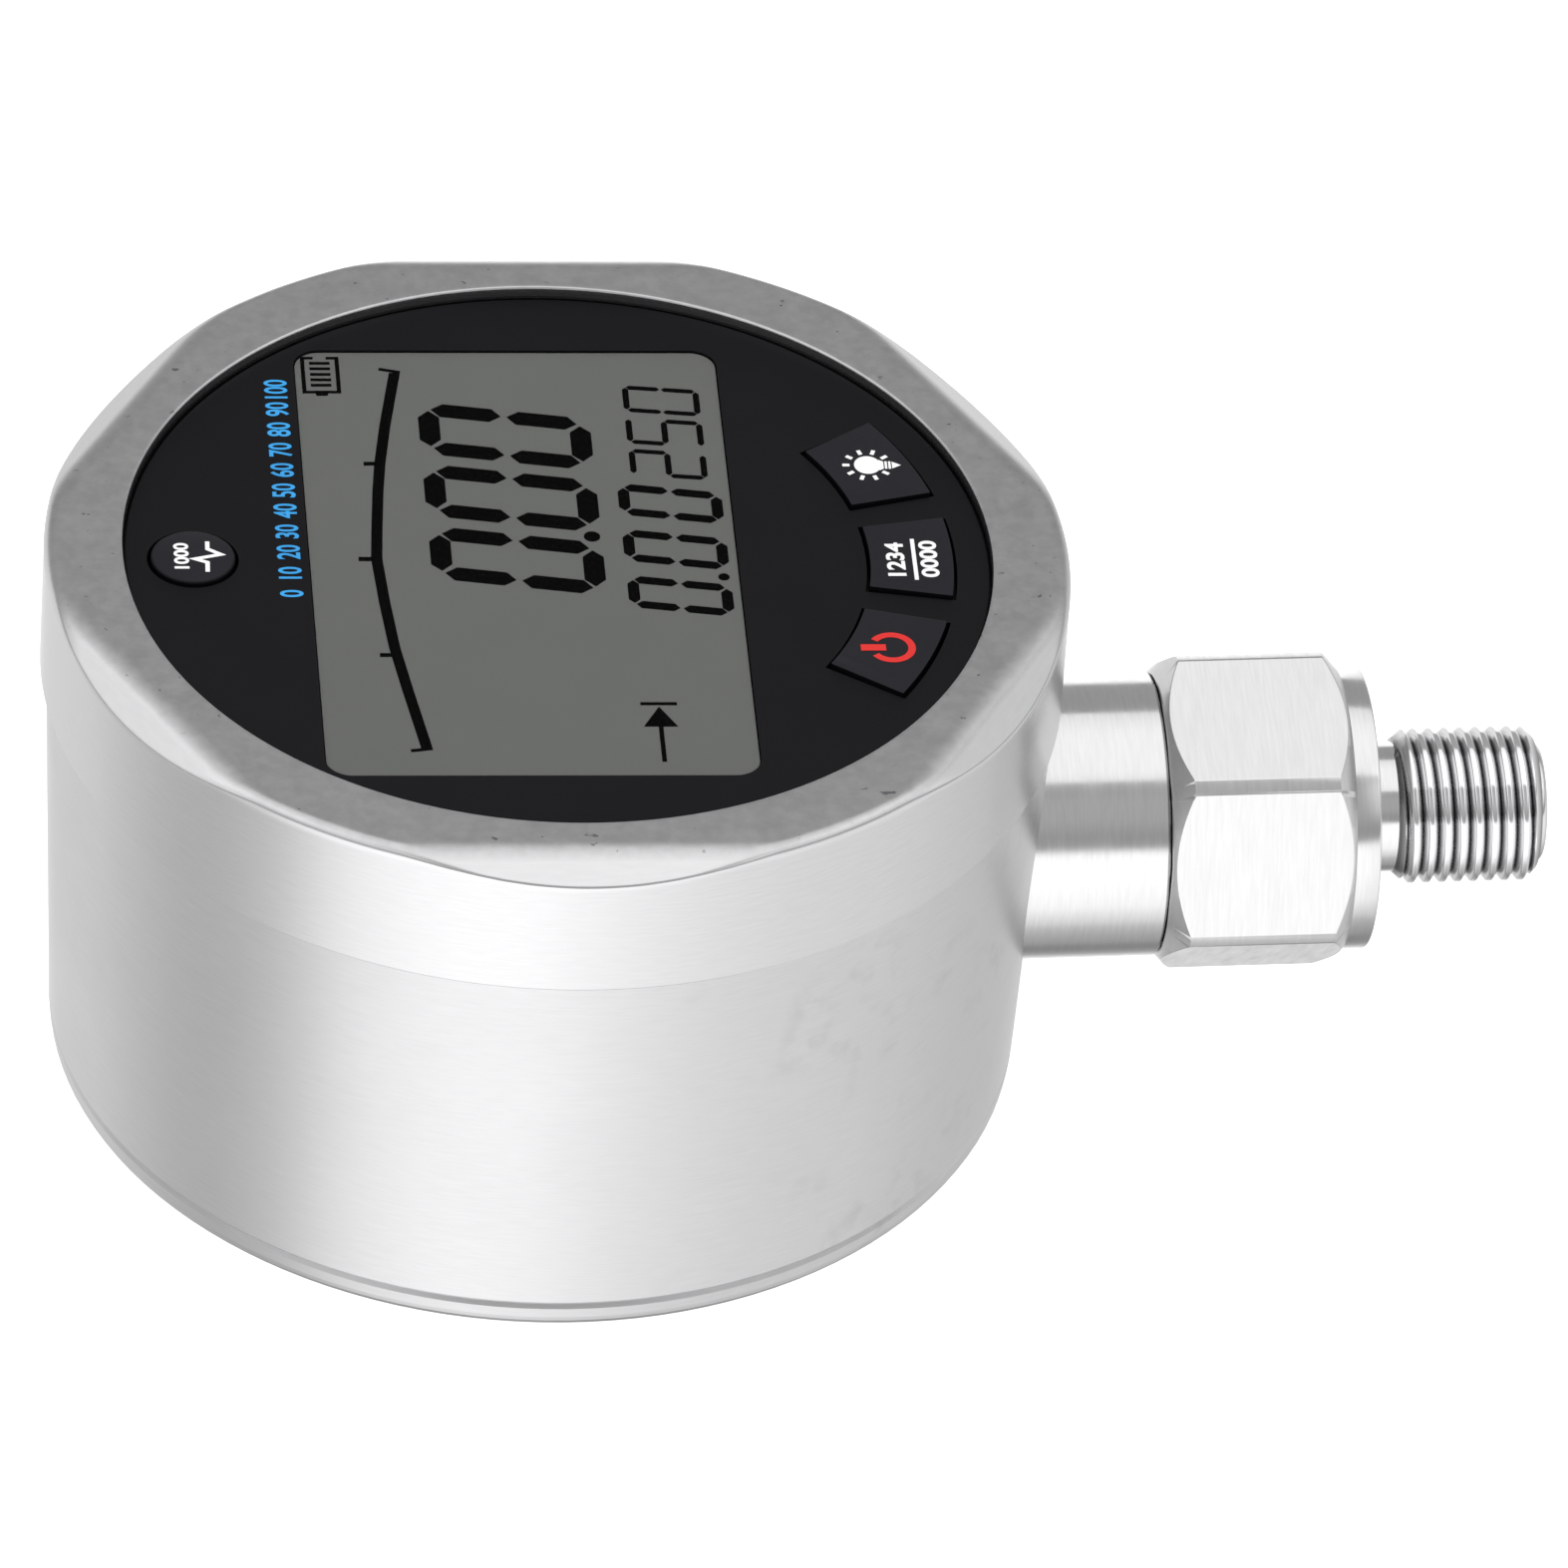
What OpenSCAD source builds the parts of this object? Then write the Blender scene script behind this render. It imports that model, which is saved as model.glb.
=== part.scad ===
// Digital pressure gauge with a side stem.
// It lies on its back: the display faces +Z, the stem points along +X,
// and z = 0 is the flat rear face. All lengths are in millimetres, angles in degrees.

/* [Case] */
// Outer radius of the case where it meets the bezel
case_r = 42; // [41:0.1:46]
// How much smaller the case radius is at the rear
case_draft = 1.3; // [0:0.1:1.8]
// Height of the case from its rear face to the bezel seam
case_h = 37.5; // [36.5:0.1:44]
// Thickness of the case floor
floor_t = 2.5; // [1.5:0.1:4]
// Height of the threaded collar inside the bezel
collar_h = 7.7; // [7.2:0.1:9]
// Wall thickness of the threaded collar
collar_wall = 1.4; // [1:0.1:1.6]
// Rounding of the rear edge
rear_edge = 1.3; // [0.5:0.1:2]
// Height of the turned groove above the rear face
rear_groove_z = 2.6; // [2.4:0.1:6]
// Width of the turned groove
rear_groove_w = 0.7; // [0.3:0.1:1]
// Depth of the turned groove
rear_groove_d = 0.25; // [0.1:0.05:0.4]
// Thickness of the O-ring between case and bezel
case_ring_t = 0.96; // [0.8:0.02:1]

/* [Bezel] */
// How far the bezel skirt stands out past the case
bezel_step = 0.5; // [0.1:0.1:1.2]
// Wall thickness of the bezel skirt
bezel_wall = 2.2; // [1.8:0.1:2.6]
// Thickness of the bezel's inward lip
lip_t = 1.8; // [1.4:0.1:2.4]
// Width of the bezel's top, from its outside to the opening
lip_w = 6.5; // [6.2:0.1:7]
// Chamfer round the opening
opening_chamfer = 0.6; // [0.1:0.05:0.8]
// Rounding of the bezel's top edge
bezel_edge = 1; // [0.4:0.1:1.6]
// Number of wrench flats
flat_count = 6; // [4:1:8]
// Depth of a wrench flat at the top face
flat_cut = 2.85; // [1.5:0.05:3.5]
// Slope of a wrench flat below level
flat_tilt = 31; // [20:1:36]
// Turn of the bezel and display about the case axis, against the stem
head_turn = -2.4; // [-6:0.1:6]

/* [Front panel] */
// Depth of the panel face below the bezel's top
panel_drop = 1.1; // [0.8:0.1:1.4]
// Thickness of the panel plate
panel_t = 2.1; // [1.9:0.1:2.4]
// Clearance between the panel and the bezel opening
panel_gap = 0.15; // [0.1:0.05:0.3]
// Thickness of the gasket under the bezel lip
bezel_gasket_t = 0.5; // [0.4:0.05:0.8]
// Width of the panel rim that stands on the collar
rim_w = 2.7; // [2.5:0.1:2.9]
// Radius of the panel's screw bosses
boss_r = 2.8; // [2.2:0.1:3]
// Length of the bosses, from the plate to the board
boss_l = 5.4; // [5.2:0.1:5.8]
// Distance of the bosses' centres from the panel's edge
boss_inset = 3.35; // [3.1:0.05:3.8]
// Directions of the four bosses
boss_angles = [50, 145, 215, 310];

/* [Display] */
// Width of the display window, along the stem, as a share of the opening's radius
lcd_w_share = 0.989; // [0.83:0.001:0.995]
// Length of the display window, across the stem, as a share of the opening's radius
lcd_l_share = 1.589; // [1.4:0.001:1.595]
// Corner radius of the display window
lcd_corner = 2.2; // [1:0.1:4]
// Shift of the window away from the stem, as a share of the opening's radius
lcd_shift_share = 0.078; // [0.07:0.001:0.083]
// Thickness of the display lens
lens_t = 0.15; // [0.1:0.05:0.8]
// Depth of the lens face below the panel face
lens_drop = 0; // [0:0.05:0.4]
// Air gap between the lens and the front glass
lens_air = 0.05; // [0.02:0.01:0.2]
// Clearance round the lens and the front glass
lens_gap = 0.1; // [0.05:0.05:0.2]
// How far the rear glass reaches past the window
glass_margin = 1; // [0.6:0.1:1.1]
// Thickness of the rear glass
rear_glass_t = 0.9; // [0.7:0.1:1.1]
// Thickness of the backlight
backlight_t = 2.3; // [1.8:0.1:2.6]
// Wall thickness of the display carrier
carrier_wall = 3.8; // [2:0.1:4]
// Thickness of a strip connector
strip_t = 1.2; // [0.8:0.1:1.4]

/* [Keys] */
// Distance of the sector keys from the opening
key_margin = 3.2; // [3:0.1:4.4]
// Depth of a sector key, along the radius
key_depth = 6.9; // [5.6:0.1:7.2]
// Angle that a sector key spans
key_span = 18.2; // [14:0.1:19]
// Angle from one sector key to the next
key_pitch = 24.6; // [24.2:0.1:25]
// Radius of the round key
round_key_r = 3.5; // [3:0.1:3.8]
// Distance of the round key from the opening
round_key_margin = 2.3; // [1.8:0.1:2.6]
// How far the keys stand above the panel face
key_proud = 0.3; // [0.1:0.05:0.4]
// Clearance round a key in the panel
key_gap = 0.3; // [0.1:0.05:0.35]
// Travel of a key
key_travel = 0.5; // [0.3:0.05:0.6]
// Width of the flange that keeps a key in the panel
key_flange = 0.7; // [0.5:0.1:0.8]
// Thickness of that flange
key_flange_t = 0.7; // [0.5:0.1:0.8]
// Clearance between that flange and the panel
key_lift = 0.1; // [0.05:0.05:0.2]
// Width of a tactile switch
switch_w = 6; // [5:0.1:6.2]
// Height of a tactile switch body
switch_h = 3.3; // [3:0.1:3.5]
// Radius of a switch plunger
plunger_r = 1.7; // [1.2:0.1:2]
// Clearance round a switch plunger
plunger_gap = 0.08; // [0.04:0.02:0.1]

/* [Board and batteries] */
// Clearance of the main board in the case
board_gap = 2; // [1.6:0.1:2.8]
// Thickness of the main board
board_t = 1.6; // [1:0.1:2]
// Radius of a cell as a share of the case's inner radius, which gives size AAA here
cell_r_share = 0.1353; // [0.125:0.0001:0.1356]
// Length of a cell without its nub, as a share of the same radius
cell_l_share = 1.116; // [1:0.001:1.121]
// Radius of the nub on a cell
nub_r = 1.9; // [1.5:0.1:2.2]
// Length of the nub on a cell
nub_l = 1.2; // [0.8:0.1:1.4]
// Clearance between a cell and the ribs beside it
cell_gap = 0.05; // [0.05:0.05:0.2]
// Wall thickness of the battery holder
holder_wall = 1.2; // [1:0.1:1.4]
// Length of a compressed battery spring
spring_l = 4; // [3:0.1:4.5]
// Thickness of a contact plate
contact_t = 0.4; // [0.3:0.05:0.5]
// Shift of the battery holder away from the stem, as a share of the case's inner radius
holder_shift_share = 0.1; // [0.08:0.001:0.14]
// Radius of the small screws
screw_r = 1; // [0.8:0.05:1.1]
// Radius of their heads
screw_head_r = 1.9; // [1.6:0.05:2]
// Height of their heads
screw_head_h = 1.3; // [1:0.05:1.5]

/* [Stem] */
// Height of the stem axis above the rear face
stem_z = 20.2; // [19:0.1:20.8]
// Radius of the neck sleeve
neck_r = 12; // [11.6:0.1:12.4]
// How far the neck stands out past the case's radius
neck_reach = 9.55; // [8:0.05:16]
// How far the neck reaches into the case
neck_sink = 4.5; // [4.2:0.1:4.8]
// Wall thickness of the neck sleeve
neck_wall = 3; // [2.6:0.1:3.2]
// Clearance round the neck in the case wall
neck_gap = 0.15; // [0.02:0.01:0.3]
// Chamfer at the neck's outer end
neck_chamfer = 0.25; // [0.1:0.05:1]
// Thickness of the gasket between neck and hexagon
neck_gasket_t = 0.25; // [0.2:0.05:1.5]
// How far the gasket stays back from the neck's outside
neck_gasket_inset = 1.2; // [0.8:0.1:1.6]
// Size of the hexagon across its flats
hex_af = 24.7; // [23:0.1:27]
// Length of the hexagon
hex_l = 15.5; // [12:0.1:18]
// Turn of the hexagon about the stem
hex_turn = 43; // [0:1:60]
// Depth to which the hexagon's corners are turned off
hex_corner_cut = 0.35; // [0.1:0.05:0.6]
// Angle between the hexagon's end faces and the cone that cuts its corners
hex_end_angle = 40; // [20:1:45]
// Radius of the collar in front of the hexagon
shoulder_r = 11.9; // [10:0.1:12]
// Length of that collar
shoulder_l = 2.1; // [1:0.1:3]
// Radius of the relief groove behind the thread
relief_r = 5.5; // [5:0.1:6]
// Length of the relief groove
relief_l = 3.6; // [2:0.1:6]
// Major diameter of the stud's pipe thread, size 1/4
thread_d = 13.157; // [12:0.001:14]
// Length of the thread
thread_l = 11.1; // [8:0.1:14]
// Chamfer at both ends of the thread
thread_chamfer = 0.9; // [0.4:0.1:1]
// Radius of the pilot at the tip
pilot_r = 5; // [4:0.1:5.4]
// Length of the pilot
pilot_l = 0.6; // [0.4:0.1:3]
// Radius of the pressure port
port_r = 2; // [1:0.1:3]

/* [Sensor] */
// Radius of the sensor pocket in the fitting
pocket_r = 7; // [6.6:0.1:7.2]
// Depth of the sensor pocket
pocket_l = 8.5; // [8:0.1:10]
// Length of the sensor capsule
capsule_l = 5.5; // [5:0.1:6]
// Thickness of the O-ring in front of the capsule
sensor_ring_t = 1.6; // [1.2:0.1:1.8]
// Radius of the capsule's rear boss
capsule_boss_r = 4.4; // [4:0.1:4.8]
// Length of that boss
capsule_boss_l = 3.4; // [3:0.1:4]
// Radius of the sensor cable
cable_r = 1.4; // [1:0.1:1.6]
// Bend radius of the sensor cable
cable_bend = 4; // [3:0.1:5]
// Place of the sensor plug, as a share of the case's inner radius
plug_share = 0.567; // [0.55:0.001:0.58]
// Height of the cable socket on the board
socket_h = 4; // [3:0.1:5]
// Height of the cable plug
plug_h = 4; // [3:0.1:5]

/* [Hidden] */

$fn = 96;

// Overrun of cuts past the faces that they open
over = 1;
// Clearance of pieces that are assembled by hand
seat_gap = 0.02;
// Clearance of the screwed bezel round the collar
thread_gap = 0.1;
// Steps in a quarter of a small rounding
edge_steps = 5;

steel = "#c9cbcd";
bright_steel = "#d6d8da";
black_plastic = "#1f1e21";
key_plastic = "#2d2c33";
dark_rubber = "#26262a";
board_green = "#1d5b3a";
nickel = "#b9b7ae";

// Case and bezel
bezel_r = case_r + bezel_step;
bezel_bore_r = bezel_r - bezel_wall;
collar_r = bezel_bore_r - thread_gap;
case_bore_r = collar_r - collar_wall;
rear_r = case_r - case_draft;
collar_top = case_h + collar_h;
case_ring_r = bezel_bore_r - case_ring_t / 2 - seat_gap;
case_ring_z = case_h + case_ring_t;
inner_fillet = rear_edge;
seam_chamfer = 0.25;
opening_r = bezel_r - lip_w;
flat_r = bezel_r - flat_cut;

// Panel and gasket are stacked on the collar
panel_flange_t = 2.5;
panel_flange_top = collar_top + panel_flange_t;
lip_bottom = panel_flange_top + bezel_gasket_t;
bezel_top = lip_bottom + lip_t;
panel_face = bezel_top - panel_drop;
panel_under = panel_face - panel_t;
panel_r = opening_r - panel_gap;
panel_rim_r = bezel_bore_r - 2 * thread_gap;
panel_rim_in_r = panel_rim_r - rim_w;
panel_edge = 0.15;
boss_ring_r = panel_r - boss_inset;

// Display stack, from the panel face down to the board
lcd_w = opening_r * lcd_w_share;
lcd_l = opening_r * lcd_l_share;
lcd_x = -opening_r * lcd_shift_share;
lens_top = panel_face - lens_drop;
lens_bottom = lens_top - lens_t;
rear_glass_bottom = panel_under - rear_glass_t;
backlight_bottom = rear_glass_bottom - backlight_t;
board_top = panel_under - boss_l;
board_under = board_top - board_t;
glass_w = lcd_w + 2 * glass_margin;
glass_l = lcd_l + 2 * glass_margin;
strip_inset = 0.2;
guide_w = glass_w - 2 * (strip_t + 2 * strip_inset);
guide_l = lcd_l - 2 * strip_inset;
led_w = 3;
led_t = 1.3;
led_h = 3.4;
led_gap = 0.2;

// Keys and switches
key_bottom = panel_under - key_lift - key_flange_t;
key_top = panel_face + key_proud;
key_out_r = opening_r - key_margin;
key_in_r = key_out_r - key_depth;
key_mid_r = (key_in_r + key_out_r) / 2;
round_key_x = opening_r - round_key_margin - round_key_r;
key_edge = 0.2;
switch_floor = 0.5;
plunger_bottom = board_top + switch_floor + key_travel + seat_gap;

// Batteries hang under the board
board_r = case_bore_r - board_gap;
cell_r = case_bore_r * cell_r_share;
cell_l = case_bore_r * cell_l_share;
cell_pitch = 2 * cell_r + holder_wall + 2 * cell_gap;
holder_x = -case_bore_r * holder_shift_share;
holder_inner_l = cell_l + nub_l + spring_l + 2 * contact_t;
holder_l = holder_inner_l + 2 * holder_wall;
holder_w = 3 * cell_pitch + holder_wall;
holder_plate_t = 1.5;
cell_z = board_under - holder_plate_t - cell_r - seat_gap;
holder_bottom = cell_z - cell_r - 2 * seat_gap;
rib_bottom = cell_z - cell_r / 2;
cover_t = 1.2;
cover_boss_r = 2.4;
cover_boss_y = holder_l / 2 + cover_boss_r - holder_wall;
cover_boss_h = 6;
cell_y = (spring_l - nub_l) / 2;
cell_xs = [for (i = [-1:1]) holder_x + i * cell_pitch];
cell_turns = [0, 180, 0];
holder_screw_share = 0.462;
holder_screw_y = cell_l * holder_screw_share;
holder_screw_l = 2.7;
holder_boss_r = 2;
holder_boss_floor = 0.3;
// Width of a contact plate as a share of its cell's
contact_share = 0.8;
// Share of a screw hole that the shank fills
screw_bite_share = 0.8;

// Parts under the board: their sizes, and their centres as shares of the board's radius
chip_h = 1.2;
lead_l = 0.6;
processor_w = 8;
processor_shares = [0.625, 0.353];
converter_w = 5.4;
converter_shares = [0.652, -0.299];
crystal_w = 3.2;
crystal_l = 7;
crystal_h = 2.2;
crystal_shares = [-0.78, 0];

// Stem, measured along X from the case axis
neck_l = neck_reach + neck_sink;
neck_end_x = case_r + neck_reach;
neck_start_x = case_r - neck_sink;
spigot_r = neck_r - neck_wall - seat_gap;
hex_start_x = neck_end_x + neck_gasket_t;
hex_end_x = hex_start_x + hex_l;
shoulder_end_x = hex_end_x + shoulder_l;
thread_start_x = shoulder_end_x + relief_l;
thread_end_x = thread_start_x + thread_l;
tip_x = thread_end_x + pilot_l;
thread_r = thread_d / 2;
hex_corner_r = hex_af / sqrt(3) - hex_corner_cut;
hex_face_r = hex_af / 2 - hex_corner_cut;
hex_chamfer_l = (hex_corner_r - hex_face_r) * tan(hex_end_angle);

// Sensor, at the inner end of the fitting
spigot_lead = 1.5;
spigot_start_x = neck_start_x - spigot_lead;
pocket_end_x = spigot_start_x + pocket_l;
capsule_end_x = pocket_end_x - sensor_ring_t;
capsule_start_x = capsule_end_x - capsule_l;
capsule_rear_x = capsule_start_x - capsule_boss_l;
sensor_ring_r = 5;
sensor_gap = 0.05;
socket_w = 5;
socket_l = 8;
plug_margin = 0.5;
plug_x = case_bore_r * plug_share;
plug_bottom = board_under - socket_h - plug_h;

function arc_points(centre, r, from, to, steps = edge_steps) = [
    for (i = [0:steps])
        let (a = from + (to - from) * i / steps)
            [centre[0] + r * cos(a), centre[1] + r * sin(a)]
];

function case_radius(z) = rear_r + (case_r - rear_r) * z / case_h;

module turned() {
    rotate([0, 0, head_turn]) children();
}

module along_stem(x = 0) {
    translate([x, 0, stem_z]) rotate([0, 90, 0]) children();
}

module tube(outer, inner, h) {
    difference() {
        cylinder(r = outer, h = h);
        translate([0, 0, -over]) cylinder(r = inner, h = h + 2 * over);
    }
}

module o_ring(ring_r, wire_r) {
    rotate_extrude() translate([ring_r, 0]) circle(r = wire_r, $fn = 24);
}

module block(w, l, h) {
    translate([-w / 2, -l / 2, 0]) cube([w, l, h]);
}

module rounded_outline(w, l, r) {
    square([w - 2 * r, l], center = true);
    square([w, l - 2 * r], center = true);
    for (x = [-1, 1], y = [-1, 1])
        translate([x * (w / 2 - r), y * (l / 2 - r)]) circle(r = r, $fn = 48);
}

module rounded_block(w, l, r, h) {
    linear_extrude(height = h) rounded_outline(w, l, r);
}

// Ring sector about the case axis; grow moves every side outwards
module sector_outline(grow = 0) {
    intersection() {
        difference() {
            circle(r = key_out_r + grow, $fn = 180);
            circle(r = key_in_r - grow, $fn = 180);
        }
        rotate(key_span / 2) translate([0, grow - key_out_r])
            square([2 * key_out_r, key_out_r]);
        rotate(-key_span / 2) translate([0, -grow])
            square([2 * key_out_r, key_out_r]);
    }
}

module small_screw(shank_l) {
    cylinder(r = screw_head_r, h = screw_head_h, $fn = 32);
    translate([0, 0, screw_head_h - seat_gap])
        cylinder(r = screw_r, h = shank_l + seat_gap, $fn = 32);
}

module rear_case() {
    groove_low = rear_groove_z - rear_groove_w / 2;
    groove_high = rear_groove_z + rear_groove_w / 2;
    outline = concat(
        [[0, 0]],
        arc_points([rear_r - rear_edge, rear_edge], rear_edge, -90, 0),
        [
            [case_radius(groove_low), groove_low],
            [case_radius(rear_groove_z) - rear_groove_d, rear_groove_z],
            [case_radius(groove_high), groove_high],
            [case_r, case_h],
            [collar_r, case_h],
            [collar_r, collar_top],
            [case_bore_r, collar_top]
        ],
        arc_points([case_bore_r - inner_fillet, floor_t + inner_fillet], inner_fillet, 0, -90),
        [[0, floor_t]]
    );
    color(steel) difference() {
        rotate_extrude() polygon(outline);
        along_stem() cylinder(r = neck_r + neck_gap, h = case_r + over);
        translate([0, 0, case_ring_z - case_ring_t / 2 - seat_gap])
            tube(collar_r + over, case_ring_r - case_ring_t / 2 - seat_gap, case_ring_t + 2 * seat_gap);
    }
}

module case_o_ring() {
    color(dark_rubber) translate([0, 0, case_ring_z]) o_ring(case_ring_r, case_ring_t / 2);
}

module bezel_ring() {
    outline = concat(
        [
            [bezel_bore_r, case_h],
            [bezel_r - seam_chamfer, case_h],
            [bezel_r, case_h + seam_chamfer]
        ],
        arc_points([bezel_r - bezel_edge, bezel_top - bezel_edge], bezel_edge, 0, 90),
        [
            [opening_r + opening_chamfer, bezel_top],
            [opening_r, bezel_top - opening_chamfer],
            [opening_r, lip_bottom],
            [bezel_bore_r, lip_bottom]
        ]
    );
    cut_l = 4 * (bezel_r - opening_r);
    color(bright_steel) turned() difference() {
        rotate_extrude() polygon(outline);
        for (i = [0:flat_count - 1])
            rotate([0, 0, (i + 1 / 2) * 360 / flat_count])
                translate([flat_r, 0, bezel_top])
                    rotate([0, flat_tilt, 0])
                        translate([0, -bezel_r, 0]) cube([cut_l, 2 * bezel_r, cut_l]);
    }
}

module bezel_gasket() {
    color(dark_rubber) translate([0, 0, panel_flange_top])
        tube(panel_rim_r, opening_r + 2 * opening_chamfer, bezel_gasket_t);
}

module at_keys() {
    for (i = [-1:1]) rotate([0, 0, i * key_pitch]) children();
}

module front_panel() {
    outline = [
        [0, panel_under],
        [panel_rim_in_r, panel_under],
        [panel_rim_in_r, collar_top],
        [panel_rim_r, collar_top],
        [panel_rim_r, panel_flange_top],
        [panel_r, panel_flange_top],
        [panel_r, panel_face - panel_edge],
        [panel_r - panel_edge, panel_face],
        [0, panel_face]
    ];
    color(black_plastic) turned() difference() {
        union() {
            rotate_extrude() polygon(outline);
            for (a = boss_angles)
                rotate([0, 0, a]) translate([boss_ring_r, 0, board_top])
                    cylinder(r = boss_r, h = boss_l + panel_t / 2, $fn = 48);
        }
        translate([lcd_x, 0, panel_under - over])
            rounded_block(lcd_w, lcd_l, lcd_corner, panel_t + 2 * over);
        at_keys() translate([0, 0, panel_under - over])
            linear_extrude(height = panel_t + 2 * over) sector_outline(key_gap);
        translate([-round_key_x, 0, panel_under - over])
            cylinder(r = round_key_r + key_gap, h = panel_t + 2 * over, $fn = 64);
        for (a = boss_angles)
            rotate([0, 0, a]) translate([boss_ring_r, 0, board_top - over])
                cylinder(r = screw_r + seat_gap, h = boss_l + over, $fn = 32);
    }
}

module display_lens() {
    color("#7c7e78") turned() translate([lcd_x, 0, lens_bottom])
        rounded_block(lcd_w - 2 * lens_gap, lcd_l - 2 * lens_gap, lcd_corner - lens_gap, lens_t);
}

module lcd_glass() {
    color("#6b6d68") turned() translate([lcd_x, 0, 0]) {
        translate([0, 0, panel_under])
            rounded_block(lcd_w - 2 * lens_gap, lcd_l - 2 * lens_gap, lcd_corner - lens_gap,
                lens_bottom - lens_air - panel_under);
        translate([0, 0, rear_glass_bottom]) block(glass_w, glass_l, rear_glass_t);
    }
}

module lcd_backlight() {
    color("#e9ecef") turned() translate([lcd_x, 0, backlight_bottom]) block(guide_w, guide_l, backlight_t);
}

module lcd_carrier() {
    carrier_h = backlight_bottom - board_top;
    color("#d8d8d2") turned() translate([lcd_x, 0, board_top]) difference() {
        block(guide_w, guide_l, carrier_h);
        translate([0, 0, -over])
            block(guide_w - 2 * carrier_wall, guide_l - 2 * carrier_wall, carrier_h + 2 * over);
    }
}

module lcd_strip_connectors() {
    strip_x = glass_w / 2 - strip_inset - strip_t / 2;
    color("#c56a8a") turned() translate([lcd_x, 0, board_top])
        for (side = [-1, 1])
            translate([side * strip_x, 0, 0]) block(strip_t, guide_l, rear_glass_bottom - board_top);
}

module backlight_leds() {
    color("#f2efe0") turned() translate([lcd_x, 0, board_top])
        for (side = [-1, 1])
            translate([0, side * (guide_l / 2 + led_gap + led_t / 2), 0]) block(led_w, led_t, led_h);
}

module main_board() {
    color(board_green) turned() translate([0, 0, board_under]) difference() {
        cylinder(r = board_r, h = board_t);
        for (a = boss_angles)
            rotate([0, 0, a]) translate([boss_ring_r, 0, -over])
                cylinder(r = screw_r + seat_gap, h = board_t + 2 * over, $fn = 32);
        at_holder_screws() translate([0, 0, -over])
            cylinder(r = screw_r + seat_gap, h = board_t + 2 * over, $fn = 32);
    }
}

// A chip body with its row of leads, hung under the board
module chip(w, l, h, shares) {
    lead_h = h / 3;
    pitch = l / 5;
    color("#202022") turned() translate([board_r * shares[0], board_r * shares[1], board_under - h]) {
        block(w, l, h);
        for (i = [-2:2])
            translate([0, i * pitch, h - lead_h]) block(w + 2 * lead_l, pitch / 2, lead_h);
    }
}

module processor_chip() {
    chip(processor_w, processor_w, chip_h, processor_shares);
}

module converter_chip() {
    chip(converter_w, processor_w, chip_h, converter_shares);
}

module clock_crystal() {
    color(nickel) turned()
        translate([board_r * crystal_shares[0], board_r * crystal_shares[1], board_under - crystal_h])
        rounded_block(crystal_w, crystal_l, crystal_w / 2 - seat_gap, crystal_h);
}

module sector_key(index) {
    color(key_plastic) turned() rotate([0, 0, index * key_pitch]) {
        translate([0, 0, key_bottom]) linear_extrude(height = key_flange_t) sector_outline(key_flange);
        translate([0, 0, key_bottom]) {
            linear_extrude(height = key_top - key_edge - key_bottom) sector_outline();
            linear_extrude(height = key_top - key_bottom) sector_outline(-key_edge);
        }
    }
}

module key_light() {
    sector_key(1);
}

module key_unit() {
    sector_key(0);
}

module key_power() {
    sector_key(-1);
}

module key_peak() {
    cap_h = key_top - key_bottom;
    color(key_plastic) turned() translate([-round_key_x, 0, key_bottom]) {
        cylinder(r = round_key_r + key_flange, h = key_flange_t, $fn = 64);
        cylinder(r = round_key_r, h = cap_h - key_edge, $fn = 64);
        cylinder(r = round_key_r - key_edge, h = cap_h, $fn = 64);
    }
}

module plunger_under(x, a) {
    color("#3a3a3e") turned() rotate([0, 0, a]) translate([x, 0, plunger_bottom])
        cylinder(r = plunger_r, h = key_bottom - plunger_bottom, $fn = 48);
}

module switch_under(x, a) {
    color("#2b2b2f") turned() rotate([0, 0, a]) translate([x, 0, board_top]) difference() {
        block(switch_w, switch_w, switch_h);
        translate([0, 0, switch_floor]) cylinder(r = plunger_r + plunger_gap, h = switch_h, $fn = 48);
    }
}

module plunger_light() {
    plunger_under(key_mid_r, key_pitch);
}

module plunger_unit() {
    plunger_under(key_mid_r, 0);
}

module plunger_power() {
    plunger_under(key_mid_r, -key_pitch);
}

module plunger_peak() {
    plunger_under(-round_key_x, 0);
}

module switch_light() {
    switch_under(key_mid_r, key_pitch);
}

module switch_unit() {
    switch_under(key_mid_r, 0);
}

module switch_power() {
    switch_under(key_mid_r, -key_pitch);
}

module switch_peak() {
    switch_under(-round_key_x, 0);
}

module panel_screws() {
    color(nickel) turned()
        for (a = boss_angles)
            rotate([0, 0, a]) translate([boss_ring_r, 0, board_under - screw_head_h])
                small_screw(board_t + boss_l * screw_bite_share);
}

module at_holder_screws() {
    for (side = [-1, 1], x = [holder_x - cell_pitch / 2, holder_x + cell_pitch / 2])
        translate([x, side * holder_screw_y, 0]) children();
}

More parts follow.
